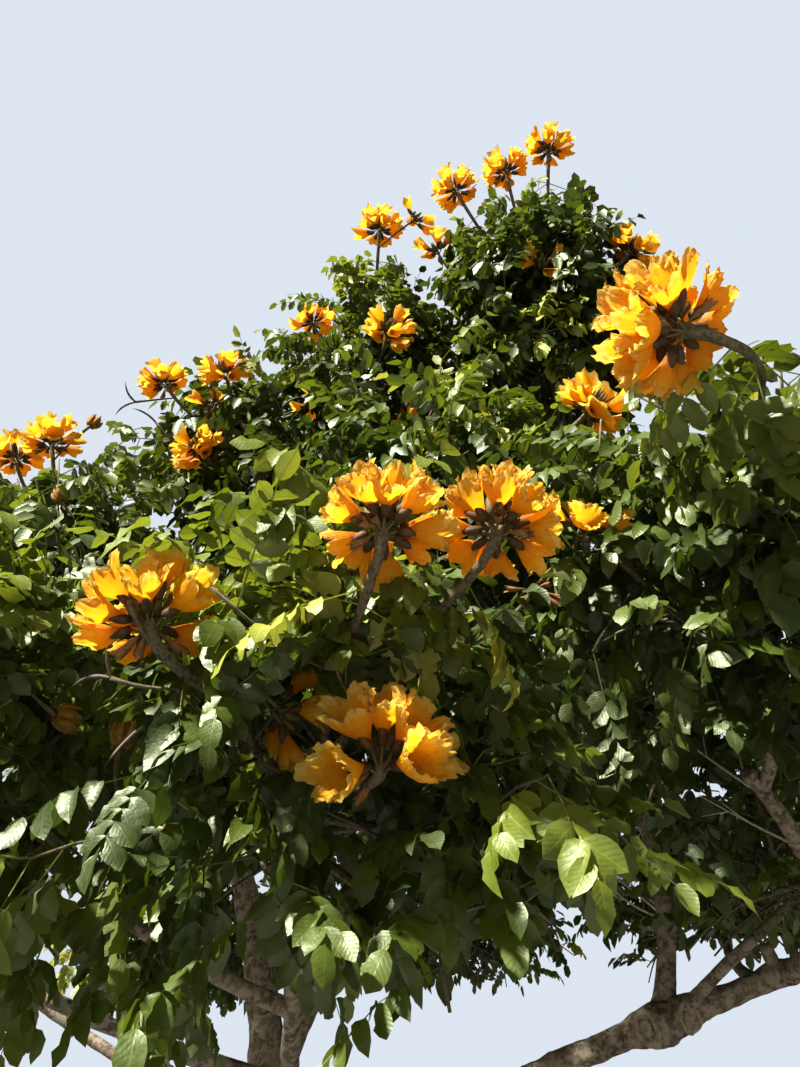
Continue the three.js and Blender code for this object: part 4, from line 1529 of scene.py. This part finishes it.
SHADE_MIDDLE = (0.2, -0.15, 3.55)
SHADE_HALF = (1.25, 1.15, 1.3)


def clear_view(place, widths):
    """A tapering room from a place towards the viewer that leaves keep out of."""
    return [*place, *mix(np.array(place), np.array(CAMERA_PLACE), VIEW_SHARE), *widths]


def hem_under(places):
    """The lowest that a leaf may hang there."""
    drop = HEM_DROP * np.clip(HEM_DROP_FROM - places[:, 0], 0, 1)
    return np.minimum(HEM_HEIGHT + HEM_RISE * (places[:, 1] + HEM_FRONT), HEM_HIGHEST) - drop


kept_clear = [
    (HEAD_PLACES, HEAD_VIEW),
    (points_on(leaders["leader_left"]["curve"], BARE_LEADER_SHARES), BARE_VIEW),
    (BLOOMS_AT + BUDS_AT + FREE_AT, BLOOM_VIEW),
    (HORNS_AT + SPENT_AT + VALLEY_AT, SMALL_VIEW),
    (OPEN_AT, OPEN_VIEW),
    (HEAD_PLACES[4:5], BELLS_VIEW),
    (points_on(leaders["limb_front_right"]["curve"], BARE_LIMB_SHARES), LIMB_VIEW),
]
clear_views = [clear_view(place, widths) for places, widths in kept_clear for place in places]
clear_views += [[*head, *head, HEAD_CLEARANCE, HEAD_CLEARANCE] for mass in masses for head in mass["heads"]]
clear_views.append([*CAMERA_PLACE, *CAMERA_PLACE, VIEWER_ROOM, VIEWER_ROOM])
clear_views = np.array(clear_views)

for mass in masses:
    mass["leaves"] = all_leaves(mass)
print(sum(len(mass["leaves"]) for mass in masses), "leaves")

# %% [markdown]
# ## The shape of a leaflet
#
# A leaflet is a long oval with a short tip, folded a little along its midrib and curled down at its end.
# Four triangles give that outline, and those nearer to the viewer get six, ten or twenty-two, the finest
# with rims that ripple. Four bent variants of each are enough: turned and sized differently they never
# look alike.


# %% Leaflet patterns
LEAFLET_WIDTH = 0.6
LEAFLET_BENDS = [(0.12, 0.30, 0.35), (0.30, 0.10, -0.45), (0.42, 0.50, 0.30), (0.20, -0.22, -0.35)]
SIMPLE_OUTLINE = ([0, 1.0], [(0.24, 0.88), (0.72, 0.88)])
PLAIN_OUTLINE = ([0, 0.5, 1.0], [(0.22, 0.86), (0.74, 0.86)])
SMOOTH_OUTLINE = ([0, 0.34, 0.7, 1.0], [(0.13, 0.66), (0.45, 1.0), (0.80, 0.72)])
FINE_OUTLINE = (
    [0, 0.16, 0.34, 0.52, 0.70, 0.86, 1.0],
    [(0.05, 0.36), (0.19, 0.80), (0.38, 0.98), (0.58, 0.98), (0.77, 0.74), (0.91, 0.30)],
)
RIPPLE = 0.05


def half_blade(middles, edges, rim):
    """Triangles of one half: from the midrib's points to the rim's, whose first point is rim."""
    if middles == 2:
        return [(0, 1, rim + 1), (0, rim + 1, rim)]
    faces = []
    for k in range(edges):
        faces.append((k, k + 1, rim + k))
        if k + 1 < edges:
            faces.append((k + 1, rim + k + 1, rim + k))
    faces += [(k, k + 1, rim + edges - 1) for k in range(edges, middles - 1)]
    return faces


def leaflet_pattern(outline, curl, fold, twist, ripple=0):
    """Points in units of the leaflet's length, triangles, and the map across."""
    middle, edge = outline
    rows = [(x, 0.0) for x in middle] + [(x, w) for x, w in edge] + [(x, -w) for x, w in edge]
    x, wide = np.array(rows).T
    across = wide * LEAFLET_WIDTH / 2
    lift = fold * np.abs(across) - curl * x**2 + twist * x * across
    lift = lift + ripple * np.sin(15 * x + 4 * wide + 9 * twist) * np.abs(wide)
    left = half_blade(len(middle), len(edge), len(middle))
    right = [(a, c, b) for a, b, c in half_blade(len(middle), len(edge), len(middle) + len(edge))]
    return np.stack([x, across, lift], axis=1), np.array(left + right), np.stack([x, 0.5 + wide / 2], axis=1)


LEAFLET_BANDS = [
    (0.0, 2.5, [leaflet_pattern(FINE_OUTLINE, *bends, RIPPLE) for bends in LEAFLET_BENDS]),
    (2.5, 3.3, [leaflet_pattern(SMOOTH_OUTLINE, *bends) for bends in LEAFLET_BENDS]),
    (3.3, 4.6, [leaflet_pattern(PLAIN_OUTLINE, *bends) for bends in LEAFLET_BENDS]),
    (4.6, 99.0, [leaflet_pattern(SIMPLE_OUTLINE, *bends) for bends in LEAFLET_BENDS]),
]
print("triangles of a leaflet", [len(patterns[0][1]) for _, _, patterns in LEAFLET_BANDS])

# %% [markdown]
# ## Laying the leaflets
#
# The pairs stand along the outer two thirds of the leaf's line, opening wide near the stalk and closing
# towards the tip, and all hang a little. Every leaflet gets its own set of three ways: along, across and
# up. One multiplication then places the pattern for thousands of leaflets at once.


# %% Leaf meshes
FIRST_PAIR = 0.3
LAST_PAIR = 0.93
WIDEST_OPENING = 1.25
CLOSING = 0.42
FIRST_SIZE, MIDDLE_SWELLING, END_SIZE = 0.72, 0.33, 1.04
LEAFLET_SIZES = (0.88, 1.1)
STRAY_OPENING = 0.12
STRAY_WAY = 0.09
STRAY_FACE = 0.30
STALK_RADII = (0.0028, 0.0013)


def stand_leaflets(rows, shares, side, opening, size, rng):
    """Place, length, and the three ways of one leaflet on each leaf."""
    places, along = leaf_line(rows, shares)
    across = leaf_side(rows)
    opening = opening + rng.normal(0, STRAY_OPENING, len(rows))[:, None]
    hang = rows[:, 12:13] * (1 if side else 0.5)
    way = side * across * np.sin(opening) + along * np.cos(opening) if side else along
    way = unit(way - hang * UP + rng.normal(0, STRAY_WAY, (len(rows), 3)))
    upper = np.cross(across, along) + rng.normal(0, STRAY_FACE, (len(rows), 3))
    upper = unit(upper - way * (upper * way).sum(1, keepdims=True))
    length = (rows[:, 10] * size * rng.uniform(*LEAFLET_SIZES, len(rows)))[:, None]
    return np.hstack([places, length, way, np.cross(upper, way), upper, rows[:, 11:12]])


def leaflets_of(rows, rng):
    """All leaflets of all leaves, one row each."""
    pairs = rows[:, 9]
    stands = []
    for j in range(int(pairs.max())):
        some = rows[pairs > j]
        count = some[:, 9]
        shares = FIRST_PAIR + (LAST_PAIR - FIRST_PAIR) * (j + 0.4) / count
        opening = (WIDEST_OPENING - CLOSING * j / count)[:, None]
        size = FIRST_SIZE + MIDDLE_SWELLING * np.sin(np.pi * (j + 1) / (count + 0.7))
        stands += [stand_leaflets(some, shares, side, opening, size, rng) for side in (1, -1)]
    stands.append(stand_leaflets(rows, np.ones(len(rows)), 0, 0, END_SIZE, rng))
    return np.vstack(stands)


def lay_leaflets(bag, stands, patterns, rng):
    """Adds the leaflets to a bag, each with one of the patterns."""
    chosen = rng.integers(0, len(patterns), len(stands))
    for index, (pattern, faces, across) in enumerate(patterns):
        some = stands[chosen == index]
        if len(some):
            ways = some[:, 4:13].reshape(-1, 3, 3)
            points = some[:, None, 0:3] + some[:, None, 3:4] * (pattern @ ways)
            bag.put_many(points, faces, some[:, 13], across)


def lay_leaf_stalks(bag, rows):
    """The middle stalk of every leaf: a gutter, open on its upper side as the real one is, in two steps."""
    rings = []
    for share in (0, 0.5, 1):
        radius = mix(*STALK_RADII, share)
        places, along = leaf_line(rows, np.full(len(rows), share))
        across = leaf_side(rows)
        below = np.cross(along, across)
        rings += [places - across * radius, places + below * radius, places + across * radius]
    faces = np.array([(k, k + 1, k + 4) for k in (0, 1, 3, 4)] + [(k, k + 4, k + 3) for k in (0, 1, 3, 4)])
    bag.put_many(np.stack(rings, axis=1), faces, rows[:, 11], np.full((len(rings), 2), 0.5))


# %% [markdown]
# ## Leaves as pieces
#
# The leaves of neighbouring masses are joined into one piece, because a few large meshes are quicker to
# handle than thousands of small ones. No piece grows past 200,000 triangles, so that it still opens in
# modest programs.

# %% Pieces of leaves
GROUPS = {
    "skirt_front": ["skirt_1", "skirt_2"],
    "skirt_sides": ["skirt_3", "skirt_7", "skirt_8", "skirt_9"],
    "skirt_back": ["skirt_4", "skirt_5", "skirt_6"],
    "shoulder_front": ["shoulder_1", "shoulder_2", "shoulder_6"],
    "shoulder_back": ["shoulder_3", "shoulder_4", "shoulder_5"],
    "upper": ["upper_1", "upper_2", "upper_3"],
    "top": ["top_1", "top_2", "top_3"],
}
masses_by_name = {mass["name"]: mass for mass in masses}


def leaf_piece(group, names):
    bag = Bag()
    for name in names:
        mass = masses_by_name[name]
        rng = np.random.default_rng(mass["index"] + 50)
        stands = leaflets_of(mass["leaves"], rng)
        away = np.linalg.norm(stands[:, 0:3] - CAMERA_PLACE, axis=1)
        for low, high, patterns in LEAFLET_BANDS:
            lay_leaflets(bag, stands[(away >= low) & (away < high)], patterns, rng)
        lay_leaf_stalks(bag, mass["leaves"])
    make_piece(f"leaves_{group}", bag, LEAF_FINISHES, foliage_nodes(names))


for group, names in GROUPS.items():
    leaf_piece(group, names)

# %% [markdown]
# ## Stems, shoots and twigs as pieces
#
# The woody parts inside the masses are plain tubes. A shoot under a flower head goes on as the head's
# stalk, so that every head stands on wood that can be followed back to the trunk.


# %% Pieces of twigs
def twig_piece(group, names):
    bag = Bag()
    for name in names:
        mass = masses_by_name[name]
        rod_along(bag, mass["stem"], STEM_RADII, 8, 8)
        for shoot in mass["shoots"]:
            rod_along(bag, shoot["curve"], SHOOT_RADII, 6, 5)
            for twig in shoot["twigs"]:
                rod_along(bag, twig["curve"], TWIG_RADII, 4, 3)
    make_piece(f"twigs_{group}", bag, [TWIG_BARK], foliage_nodes(names))


for group, names in GROUPS.items():
    twig_piece(group, names)

# %% [markdown]
# ## The shape of a flower
#
# A flower is a lopsided cup 10 to 12 cm long. It is a narrow tube where it leaves its sheath, swells
# towards its belly, and opens into five broad lobes with ruffled edges. The cup is a grid wrapped round:
# the radius follows a profile, five waves cut the lobes, and a quick wave with small random steps makes
# the ruffles. Its faces take one of the four petal finishes by how far along they lie.

# %% Flower cup
CUP_STEPS = [0, 0.1, 0.25, 0.45, 0.65, 0.85, 1]
CUP_RADII = [0.05, 0.08, 0.165, 0.275, 0.36, 0.42, 0.45]
LOBES = 5
LOBE_CUT = 0.27
FLUTE_DEPTH = 0.2
FRILL = 0.04
FRILL_ALONG = 0.03
RUFFLE = 0.06
RUFFLES = 17
BELLY = 0.2
LOBE_SPREADS = (-0.16, 0.2)
LOBE_LENGTHS = (0.88, 1.06)
CUP_FLATNESS = (0.55, 0.85)
CUP_LEANS = (0.05, 0.25)
ZONE_LIMITS = [0.3, 0.62, 0.86]


def flower_cup(around, rings, seed, flare=0.0):
    """Points of a cup of unit length along +X with its belly towards -Z, triangles, finishes, map."""
    rng = np.random.default_rng(seed)
    turn = turns_of(around)
    along = (1 - (1 - np.linspace(0, 1, rings)) ** 1.25)[:, None]
    place = turn * LOBES / (2 * np.pi) + 0.5
    notch = np.abs(place % 1 - 0.5) * 2
    lobe = (place.astype(int)) % LOBES
    spread = rng.uniform(*LOBE_SPREADS, LOBES)[lobe]
    longer = rng.uniform(*LOBE_LENGTHS, LOBES)[lobe]
    radius = np.interp(along, CUP_STEPS, CUP_RADII) * (1 - FLUTE_DEPTH * notch**2 * along)
    radius = radius * (1 + flare * along**2)
    radius = radius + RUFFLE * np.sin(RUFFLES * turn + rng.uniform(0, 6.3) + 2.0 * along) * along**4
    radius = radius * (1 + BELLY * np.sin(np.pi * along) * np.maximum(0, -np.sin(turn)))
    radius = radius + spread * (1 - notch) * along**4 + rng.uniform(-FRILL, FRILL, (rings, around)) * along**3
    reach = along * (1 - (LOBE_CUT * notch**2.2 + (1 - longer)) * along**2)
    reach = reach + rng.uniform(-FRILL_ALONG, FRILL_ALONG, (rings, around)) * along**4
    flat, lean = rng.uniform(*CUP_FLATNESS), rng.uniform(*CUP_LEANS)
    lift = radius * np.sin(turn) * flat + lean * along**2
    points = np.stack([reach, radius * np.cos(turn), lift], axis=-1).reshape(-1, 3)
    faces = ring_triangles(rings, around, closed=False)
    level = np.broadcast_to(along, (rings, around)).ravel()[faces].mean(axis=1)
    kinds = np.digitize(level, ZONE_LIMITS)
    across = np.stack(np.broadcast_arrays(turn / (2 * np.pi), along), axis=-1).reshape(-1, 2)
    return points, faces, kinds, across


PLAIN_CUPS = [flower_cup(18, 5, seed) for seed in range(6)]
FINE_CUPS = [flower_cup(52, 11, seed, 0.1) for seed in range(6)]
WIDE_CUPS = [flower_cup(68, 14, seed, 0.4) for seed in range(4)]
print("flower", len(PLAIN_CUPS[0][1]), "or", len(FINE_CUPS[0][1]), "triangles")

# %% [markdown]
# ## The flower head
#
# A head is built round its stalk in rings. The outer ring of flowers lies almost level, the next one
# stands up more, and a crowded cluster of curved buds fills the middle. Each flower sits in a brown,
# claw-shaped sheath that shows below the head. A head also keeps one or a few withered flowers on its
# underside.


# %% Flower heads
FLOWER_LENGTH = (0.098, 0.12)
WITHERED_LENGTH = (0.06, 0.085)
WITHERED_SHAPE = (1, 0.42, 0.5)
SHEATH_LENGTH = 0.056
SHEATH_RADIUS = 0.014
FLOWER_STALK_RADII = (0.0032, 0.0042)
FLOWER_STRAY, RING_STRAY = 0.34, 0.4
RING_LIFT, RING_RISE, RING_GAP = -0.05, 0.5, 0.014
WITHERED_BELOW, BUDS_ABOVE = 0.01, 0.012
NEAR_HEAD = {"cups": FINE_CUPS, "rings": (8, 5, 2), "withered": 3, "buds": 16}
FAR_HEAD = {"cups": PLAIN_CUPS, "rings": (8, 5), "withered": 1, "buds": 9}
CLAW_SIDES = 6
GREEN_BUDS = {
    "spread": 0.03, "splay": 0.9, "curl": 0.6, "length": (0.055, 0.08), "radius": 0.0115,
    "kind": BUD, "steps": 3,
}


def place_cup(bag, cup, base, way, up, length):
    """Puts a cup into a bag, turned to point along way with its back towards up."""
    points, faces, kinds, across = cup
    upper = unit(up - way * (up @ way))
    ways = np.stack([way, np.cross(upper, way), upper])
    bag.put(base + length * (points @ ways), faces, kinds, across)


def claw(bag, base, way, bend, length, radius, kind, steps=4):
    """A curved horn that tapers to a point: a sheath, a bud or a pod."""
    bow = base + way * length * 0.55
    tip = bow + unit(way + bend) * length * 0.55
    shares = np.linspace(0, 1, steps + 1)
    swell = np.interp(shares, [0, 0.3, 0.7, 1], [0.7, 1.0, 0.75, 0.08]) * radius
    bag.put(*round_tube(np.array([base, bow, tip]), shares, swell, CLAW_SIDES), kind)


def one_of(cups, draw):
    """One of the cups by chance."""
    return cups[int(draw() * (len(cups) - 0.01))]


def one_flower(bags, centre, way, up, size, cups, draw):
    """A flower on its own short stalk and in its own sheath."""
    base = centre + way * 0.05 * size
    length = size * mix(*FLOWER_LENGTH, draw())
    place_cup(bags["blossom"], one_of(cups, draw), base, way, up, length)
    foot = centre - up * 0.034 * size
    stalk = np.array([foot, foot + (base - foot) * 0.5 - up * 0.006, base])
    rod_along(bags["sheaths"], stalk, FLOWER_STALK_RADII, 4, 2, BUD)
    sheath = base - way * 0.012 - up * 0.004
    lean = unit(way - 0.3 * up)
    claw(bags["sheaths"], sheath, lean, up * 0.5, SHEATH_LENGTH * size, SHEATH_RADIUS, SHEATH)


def flower_ring(bags, centre, axis, count, lift, start, size, cups, draw):
    """One ring of flowers."""
    for k in range(count):
        out = sideways(axis, start + 2 * math.pi * (k + RING_STRAY * (draw() - 0.5)) / count)
        rise = lift + FLOWER_STRAY * (draw() - 0.5)
        one_flower(bags, centre, unit(out * math.cos(rise) + axis * math.sin(rise)), axis, size, cups, draw)


def withered_flowers(bags, centre, axis, count, size, draw):
    """Spent flowers that hang shrunken and brown under the ring."""
    for _ in range(count):
        out = sideways(axis, draw() * 2 * math.pi)
        way = unit(out - axis * mix(0.2, 0.8, draw()))
        points, faces, _, across = one_of(PLAIN_CUPS, draw)
        shrunken = (points * WITHERED_SHAPE, faces, np.full(len(faces), WITHERED), across)
        length = size * mix(*WITHERED_LENGTH, draw())
        place_cup(bags["sheaths"], shrunken, centre + way * 0.03 * size, way, axis, length)


def bud_cluster(bags, centre, axis, count, size, draw, look=GREEN_BUDS):
    """Curved buds that lean together over the middle of a head. Their look says how they stand."""
    for k in range(count):
        out = sideways(axis, k * GOLDEN_ANGLE)
        wide = math.sqrt((k + 0.5) / count)
        base = centre + out * look["spread"] * size * wide
        way = unit(axis + out * look["splay"] * wide)
        bend = unit(axis - look["curl"] * out)
        length = size * mix(*look["length"], draw())
        claw(bags["sheaths"], base, way, bend, length, look["radius"], look["kind"], look["steps"])


def flower_head(bags, place, axis, look, draw, near):
    """A whole head. Its look says its size, its flowers and its buds, where they aren't the usual ones."""
    usual = NEAR_HEAD if near else FAR_HEAD
    size = look.get("size", 1.0)
    for index, count in enumerate(look.get("rings", usual["rings"])):
        lift = look.get("lift", RING_LIFT) + RING_RISE * index
        centre = place + axis * RING_GAP * index
        flower_ring(bags, centre, axis, count, lift, draw() * 6, size, usual["cups"], draw)
    for way in look.get("bells", ()):
        one_flower(bags, place, unit(way), axis, size, WIDE_CUPS, draw)
    withered_flowers(bags, place - axis * WITHERED_BELOW, axis, usual["withered"], size, draw)
    bud_cluster(bags, place + axis * BUDS_ABOVE, axis, look.get("buds", usual["buds"]), size, draw)


# %% [markdown]
# ## All heads in their places
#
# Each head crowns the stalk of its shoot. It leans the way the stalk points, a little more upright,
# unless its look says how it leans. Heads close to the viewer get finer cups and, where their look
# doesn't say otherwise, a third ring of flowers. Their stalks are ridged and swell into a knobbly neck
# under the flowers.

# %% Heads on the tree
NEAR = 2.4
HEAD_STALK_RADII = (0.0095, 0.0125)
STALK_RINGS, STALK_SIDES = 16, 15
NECK_SWELLING = 0.5
NECK_KNOBS = 0.25
RIDGES = 5
RIDGE_DEPTH = 0.12
FLOWER_PARTS = [
    ("blossom", PETAL_FINISHES, "blossom"),
    ("sheaths", SHEATH_FINISHES, "bark"),
    ("stalks", [TWIG_BARK], "bark"),
]


def ridged_stalk(bag, curve, radii):
    """A stalk with lengthwise ridges that thickens into a neck."""
    shares = np.linspace(0, 1, STALK_RINGS)
    thick = mix(*radii, shares)[:, None] * (1 + RIDGE_DEPTH * np.cos(RIDGES * turns_of(STALK_SIDES)))
    places, ways = points_on(curve, shares), ways_on(curve, shares)
    skin, _ = skin_round(places, ways, thick)
    thick = thick * (1 + NECK_SWELLING * shares[:, None] ** 6 + NECK_KNOBS * lumps(skin, 60.0, 2))
    bag.put(*tube(places, ways, thick))


def dress_heads(bags, mass):
    """All heads of one mass, each with its stalk."""
    draw = seeded(97 * mass["index"] + 31)
    for shoot in mass["shoots"]:
        if shoot["head"] is None:
            continue
        near = np.linalg.norm(shoot["head"] - CAMERA_PLACE) < NEAR
        if near:
            radii = np.array(HEAD_STALK_RADII) * shoot["look"].get("stalk", 1.0)
            ridged_stalk(bags["stalks"], head_stalk(shoot), radii)
        else:
            rod_along(bags["stalks"], head_stalk(shoot), HEAD_STALK_RADII, 7, 7)
        flower_head(bags, shoot["head"], head_axis(shoot), shoot["look"], draw, near)


def flower_bags():
    return {part: Bag() for part, _, _ in FLOWER_PARTS}


def flower_pieces(label, bags, names):
    """Petals, brown parts and stalks, each kind as a piece of its own."""
    for part, finishes, slot in FLOWER_PARTS:
        make_piece(f"{part}_{label}", bags[part], finishes, foliage_nodes(names))


for group, names in GROUPS.items():
    bags = flower_bags()
    for name in names:
        dress_heads(bags, masses_by_name[name])
    flower_pieces(group, bags, names)

# %% [markdown]
# ## Small things among the leaves
#
# Between the heads are smaller blooms, velvety clusters of buds that haven't opened, and curved grey
# horns: the bare stalks that old heads leave behind. Each has its place, and the twig that ends nearest
# to it sends out a stalk that carries it. Some more are dealt out over the sides that the viewer doesn't
# see, a little on and up from the ends of their twigs, so that no side is without them.


# %% Stalks of small things
every_twig = [twig for mass in masses for shoot in mass["shoots"] for twig in shoot["twigs"]]
twig_tips = np.array([twig["curve"][2] for twig in every_twig])


def nearest_twig(place):
    """The twig that ends nearest to a place."""
    return every_twig[int(np.argmin(np.linalg.norm(twig_tips - place, axis=1)))]


def above(twig, length):
    """A place a little way on and up from a twig's tip."""
    return twig["curve"][2] + unit(ways_on(twig["curve"], 1.0) + UP * 0.9) * length


def stalk_to(bag, twig, place, radius):
    """A stalk from a twig's tip that rises into a place. Gives the way in which it arrives."""
    start = twig["curve"][2]
    length = np.linalg.norm(place - start)
    bow = mix(start, place, 0.5) + (ways_on(twig["curve"], 1.0) * 0.15 - UP * 0.2) * length
    rod_along(bag, np.array([start, bow, place]), (TWIG_RADII[1], radius), 6, 6)
    return unit(unit(place - bow) + UP * 0.4)


print("twigs with leaves", len(every_twig))

# %% Buds, horns, small blooms and a spent head
EVERY_NTH_TWIG = 31
CROWN_MIDDLE = (0, -0.4, 3.6)
DEALT_FROM_MIDDLE = 2.0
DEALT_FROM_VIEWER = 4.4
DEALT_SEED = 2027
BUDS_IN_CLUSTER = 11
VELVET_BUDS = {
    "spread": 0.02, "splay": 0.8, "curl": 1.1, "length": (0.06, 0.085), "radius": 0.013,
    "kind": VELVET_PAINTED_LIGHT, "steps": 5,
}
HORN_LENGTH = (0.11, 0.17)
HORN_RADIUS = 0.007
THIN_STALK, BUD_STALK = 0.008, 0.009
BLOOM_FLOWERS, BLOOM_LIFT, BLOOM_SIZE = 4, 0.3, 0.95
BLOOM_BUDS, BLOOM_BUD_SIZE = 6, 0.8
DEALT_IN_TURN = [("buds", 0.07), ("horn", 0.06), ("horn", 0.06), ("bloom", 0.13)]


def small_bloom(bags, twig, place, draw):
    """A head that has only begun to open: one ring of flowers round a few buds."""
    axis = stalk_to(bags["stalks"], twig, place, THIN_STALK)
    usual = NEAR_HEAD if np.linalg.norm(place - CAMERA_PLACE) < NEAR else FAR_HEAD
    flower_ring(bags, place, axis, BLOOM_FLOWERS, BLOOM_LIFT, draw() * 6, BLOOM_SIZE, usual["cups"], draw)
    bud_cluster(bags, place, axis, BLOOM_BUDS, BLOOM_BUD_SIZE, draw)


def bud_head(bags, twig, place, draw):
    """A cluster of velvety buds."""
    axis = stalk_to(bags["stalks"], twig, place, BUD_STALK)
    bud_cluster(bags, place, axis, BUDS_IN_CLUSTER, 1, draw, VELVET_BUDS)


def horn(bags, twig, place, draw):
    """One curved horn, or two that bend apart."""
    way = stalk_to(bags["stalks"], twig, place, THIN_STALK)
    side = sideways(way, draw() * 6)
    for n in range(1 + int(draw() * 1.6)):
        leaning = unit(way + side * (0.4 - 0.9 * n))
        bend = side * (1.6 - 3.2 * n) - way * 0.5
        length = mix(*HORN_LENGTH, draw())
        claw(bags["sheaths"], place - way * 0.004, leaning, bend, length, HORN_RADIUS, POD, steps=10)


def spent_head(bags, twig, place, draw):
    """An old head: withered flowers hang under its stalk's end, and a few smaller ones stand on it."""
    axis = stalk_to(bags["stalks"], twig, place, THIN_STALK)
    withered_flowers(bags, place, axis, 5, 0.9, draw)
    withered_flowers(bags, place, -axis, 3, 0.8, draw)


SMALL_THINGS = {
    "bloom": (small_bloom, BLOOMS_AT),
    "buds": (bud_head, BUDS_AT),
    "horn": (horn, HORNS_AT),
    "spent": (spent_head, SPENT_AT),
}


def small_things():
    """The placed small things first, then those that are dealt out over the far sides."""
    bags = flower_bags()
    draw = seeded(DEALT_SEED)
    for maker, places in SMALL_THINGS.values():
        for place in places:
            maker(bags, nearest_twig(place), np.array(place), draw)
    for index, twig in enumerate(every_twig[::EVERY_NTH_TWIG]):
        kind, length = DEALT_IN_TURN[index % len(DEALT_IN_TURN)]
        tip = twig["curve"][2]
        outside = np.linalg.norm(tip - CROWN_MIDDLE) > DEALT_FROM_MIDDLE
        if outside and np.linalg.norm(tip - CAMERA_PLACE) > DEALT_FROM_VIEWER:
            maker, _ = SMALL_THINGS[kind]
            maker(bags, twig, above(twig, length), draw)
    flower_pieces("small", bags, masses_by_name)


small_things()

# %% [markdown]
# ## Stubs and bare twigs
#
# Where limbs were sawn or broken off, short stubs stay, with ochre wood at the end. A few thin twigs,
# most of them on the riser and on the limb that reaches to the front beside it, have lost their leaves
# and their bark has bleached. Their finish is paler still, painted light as if the sun fell on them.

# %% Stubs and bare twigs
STUBS = [
    ("riser_right", 0.30, 180, 10, 0.13, 0.019),
    ("limb_front_right", 0.68, -125, -8, 0.12, 0.034),
    ("limb_right", 0.87, -95, 62, 0.09, 0.030),
    ("leader_middle", 0.42, -60, 20, 0.10, 0.022),
    ("limb_back", 0.62, 60, 30, 0.10, 0.022),
]
BARE_TWIGS = [
    ("riser_right", 0.34, 175, 55, 0.34), ("riser_right", 0.36, 190, 62, 0.30),
    ("riser_right", 0.38, 160, 70, 0.27),
    ("riser_right", 0.62, -60, 40, 0.30), ("limb_front_right", 0.93, 150, 28, 0.66),
    ("limb_front_right", 0.76, -165, 20, 0.40), ("leader_middle", 0.5, -100, 50, 0.32),
]
STUB_RINGS, STUB_SIDES = 9, 14
STUB_TAPER = (1.25, 0.3)
STUB_LUMPS = 0.16
BARE_RISE, BARE_BEND = 0.8, 0.3
BARE_RADII = (0.0066, 0.0024)
BARE_FORKS_AT = (0.45, 0.7)
BARE_FORK_RADII = (0.0034, 0.0014)
BARE_FORK_SPREAD, BARE_FORK_LENGTH, BARE_FORK_BEND = 0.8, 0.35, 0.05


def stub(bag, limb, share, azimuth, rise, length, radius):
    """A short stub with lumpy bark. The cap at its end takes the finish of sawn wood."""
    spot, out = spot_on(limb, share, azimuth, rise)
    root = spot - out * 0.6 * radius_on(limb, share)
    tip = spot + unit(out + UP * 0.15) * length
    shares = np.linspace(0, 1, STUB_RINGS)
    curve = np.array([root, mix(root, tip, 0.5), tip])
    wide, narrower = STUB_TAPER
    thick = np.repeat((radius * (wide - narrower * shares))[:, None], STUB_SIDES, axis=1)
    places, ways = points_on(curve, shares), ways_on(curve, shares)
    around = sideways(ways[:, None, :], np.linspace(0, 5.8, STUB_SIDES)[None, :])
    thick = thick * (1 + STUB_LUMPS * lumps(places[:, None, :] + around * thick[..., None], 24.0, 3))
    points, triangles = tube(places, ways, thick)
    sawn = (triangles == len(points) - 1).any(axis=1)
    bag.put(points, triangles, sawn.astype(int))


def stubs_and_bare_twigs():
    draw = seeded(515)
    wood, pale = Bag(), Bag()
    for name, share, azimuth, rise, length, radius in STUBS:
        stub(wood, leaders[name], share, azimuth, rise, length, radius)
    for name, share, azimuth, rise, length in BARE_TWIGS:
        spot, out = spot_on(leaders[name], share, azimuth, rise)
        start, end = spot - out * 0.01, spot + unit(out + UP * BARE_RISE) * length
        main = bent_line(start, end, BARE_BEND * length, draw)
        rod_along(pale, main, BARE_RADII, 6, 8)
        for fork in BARE_FORKS_AT:
            base, way = points_on(main, fork), ways_on(main, fork)
            leaning = unit(way + sideways(way, draw() * 6) * BARE_FORK_SPREAD)
            tip = base + leaning * length * BARE_FORK_LENGTH
            rod_along(pale, bent_line(base, tip, BARE_FORK_BEND, draw), BARE_FORK_RADII, 5, 4)
    for label, bag, finishes, entries in (
        ("stubs", wood, [LIMB_BARK, SAWN_WOOD], STUBS),
        ("bare_twigs", pale, [BLEACHED_LIT_TWIG_BARK], BARE_TWIGS),
    ):
        make_piece(label, bag, finishes, sorted({entry[0] for entry in entries}))


stubs_and_bare_twigs()

# %% [markdown]
# ## The floor
#
# A plain pale floor lies under the tree. It isn't part of it.

# %% Floor
FLOOR_SIZE = 60.0
floor_mesh = bpy.data.meshes.new("floor")
half = FLOOR_SIZE / 2
corners = [(-half, -half, 0), (half, -half, 0), (half, half, 0), (-half, half, 0)]
floor_mesh.from_pydata(corners, [], [(0, 1, 2, 3)])
floor = bpy.data.objects.new("floor", floor_mesh)
bpy.context.scene.collection.objects.link(floor)
floor_finish, floor_tree, floor_shader = start_finish("floor_pale", 0.9, 0.1)
tones = {"First": (0.18, 0.18, 0.175, 1), "Second": (0.20, 0.20, 0.195, 1)}
pale = place_group(floor_tree, MOTTLING, Scale=0.6, **tones)
floor_tree.links.new(pale["Color"], floor_shader.inputs["Base Color"])
floor_mesh.materials.append(floor_finish)
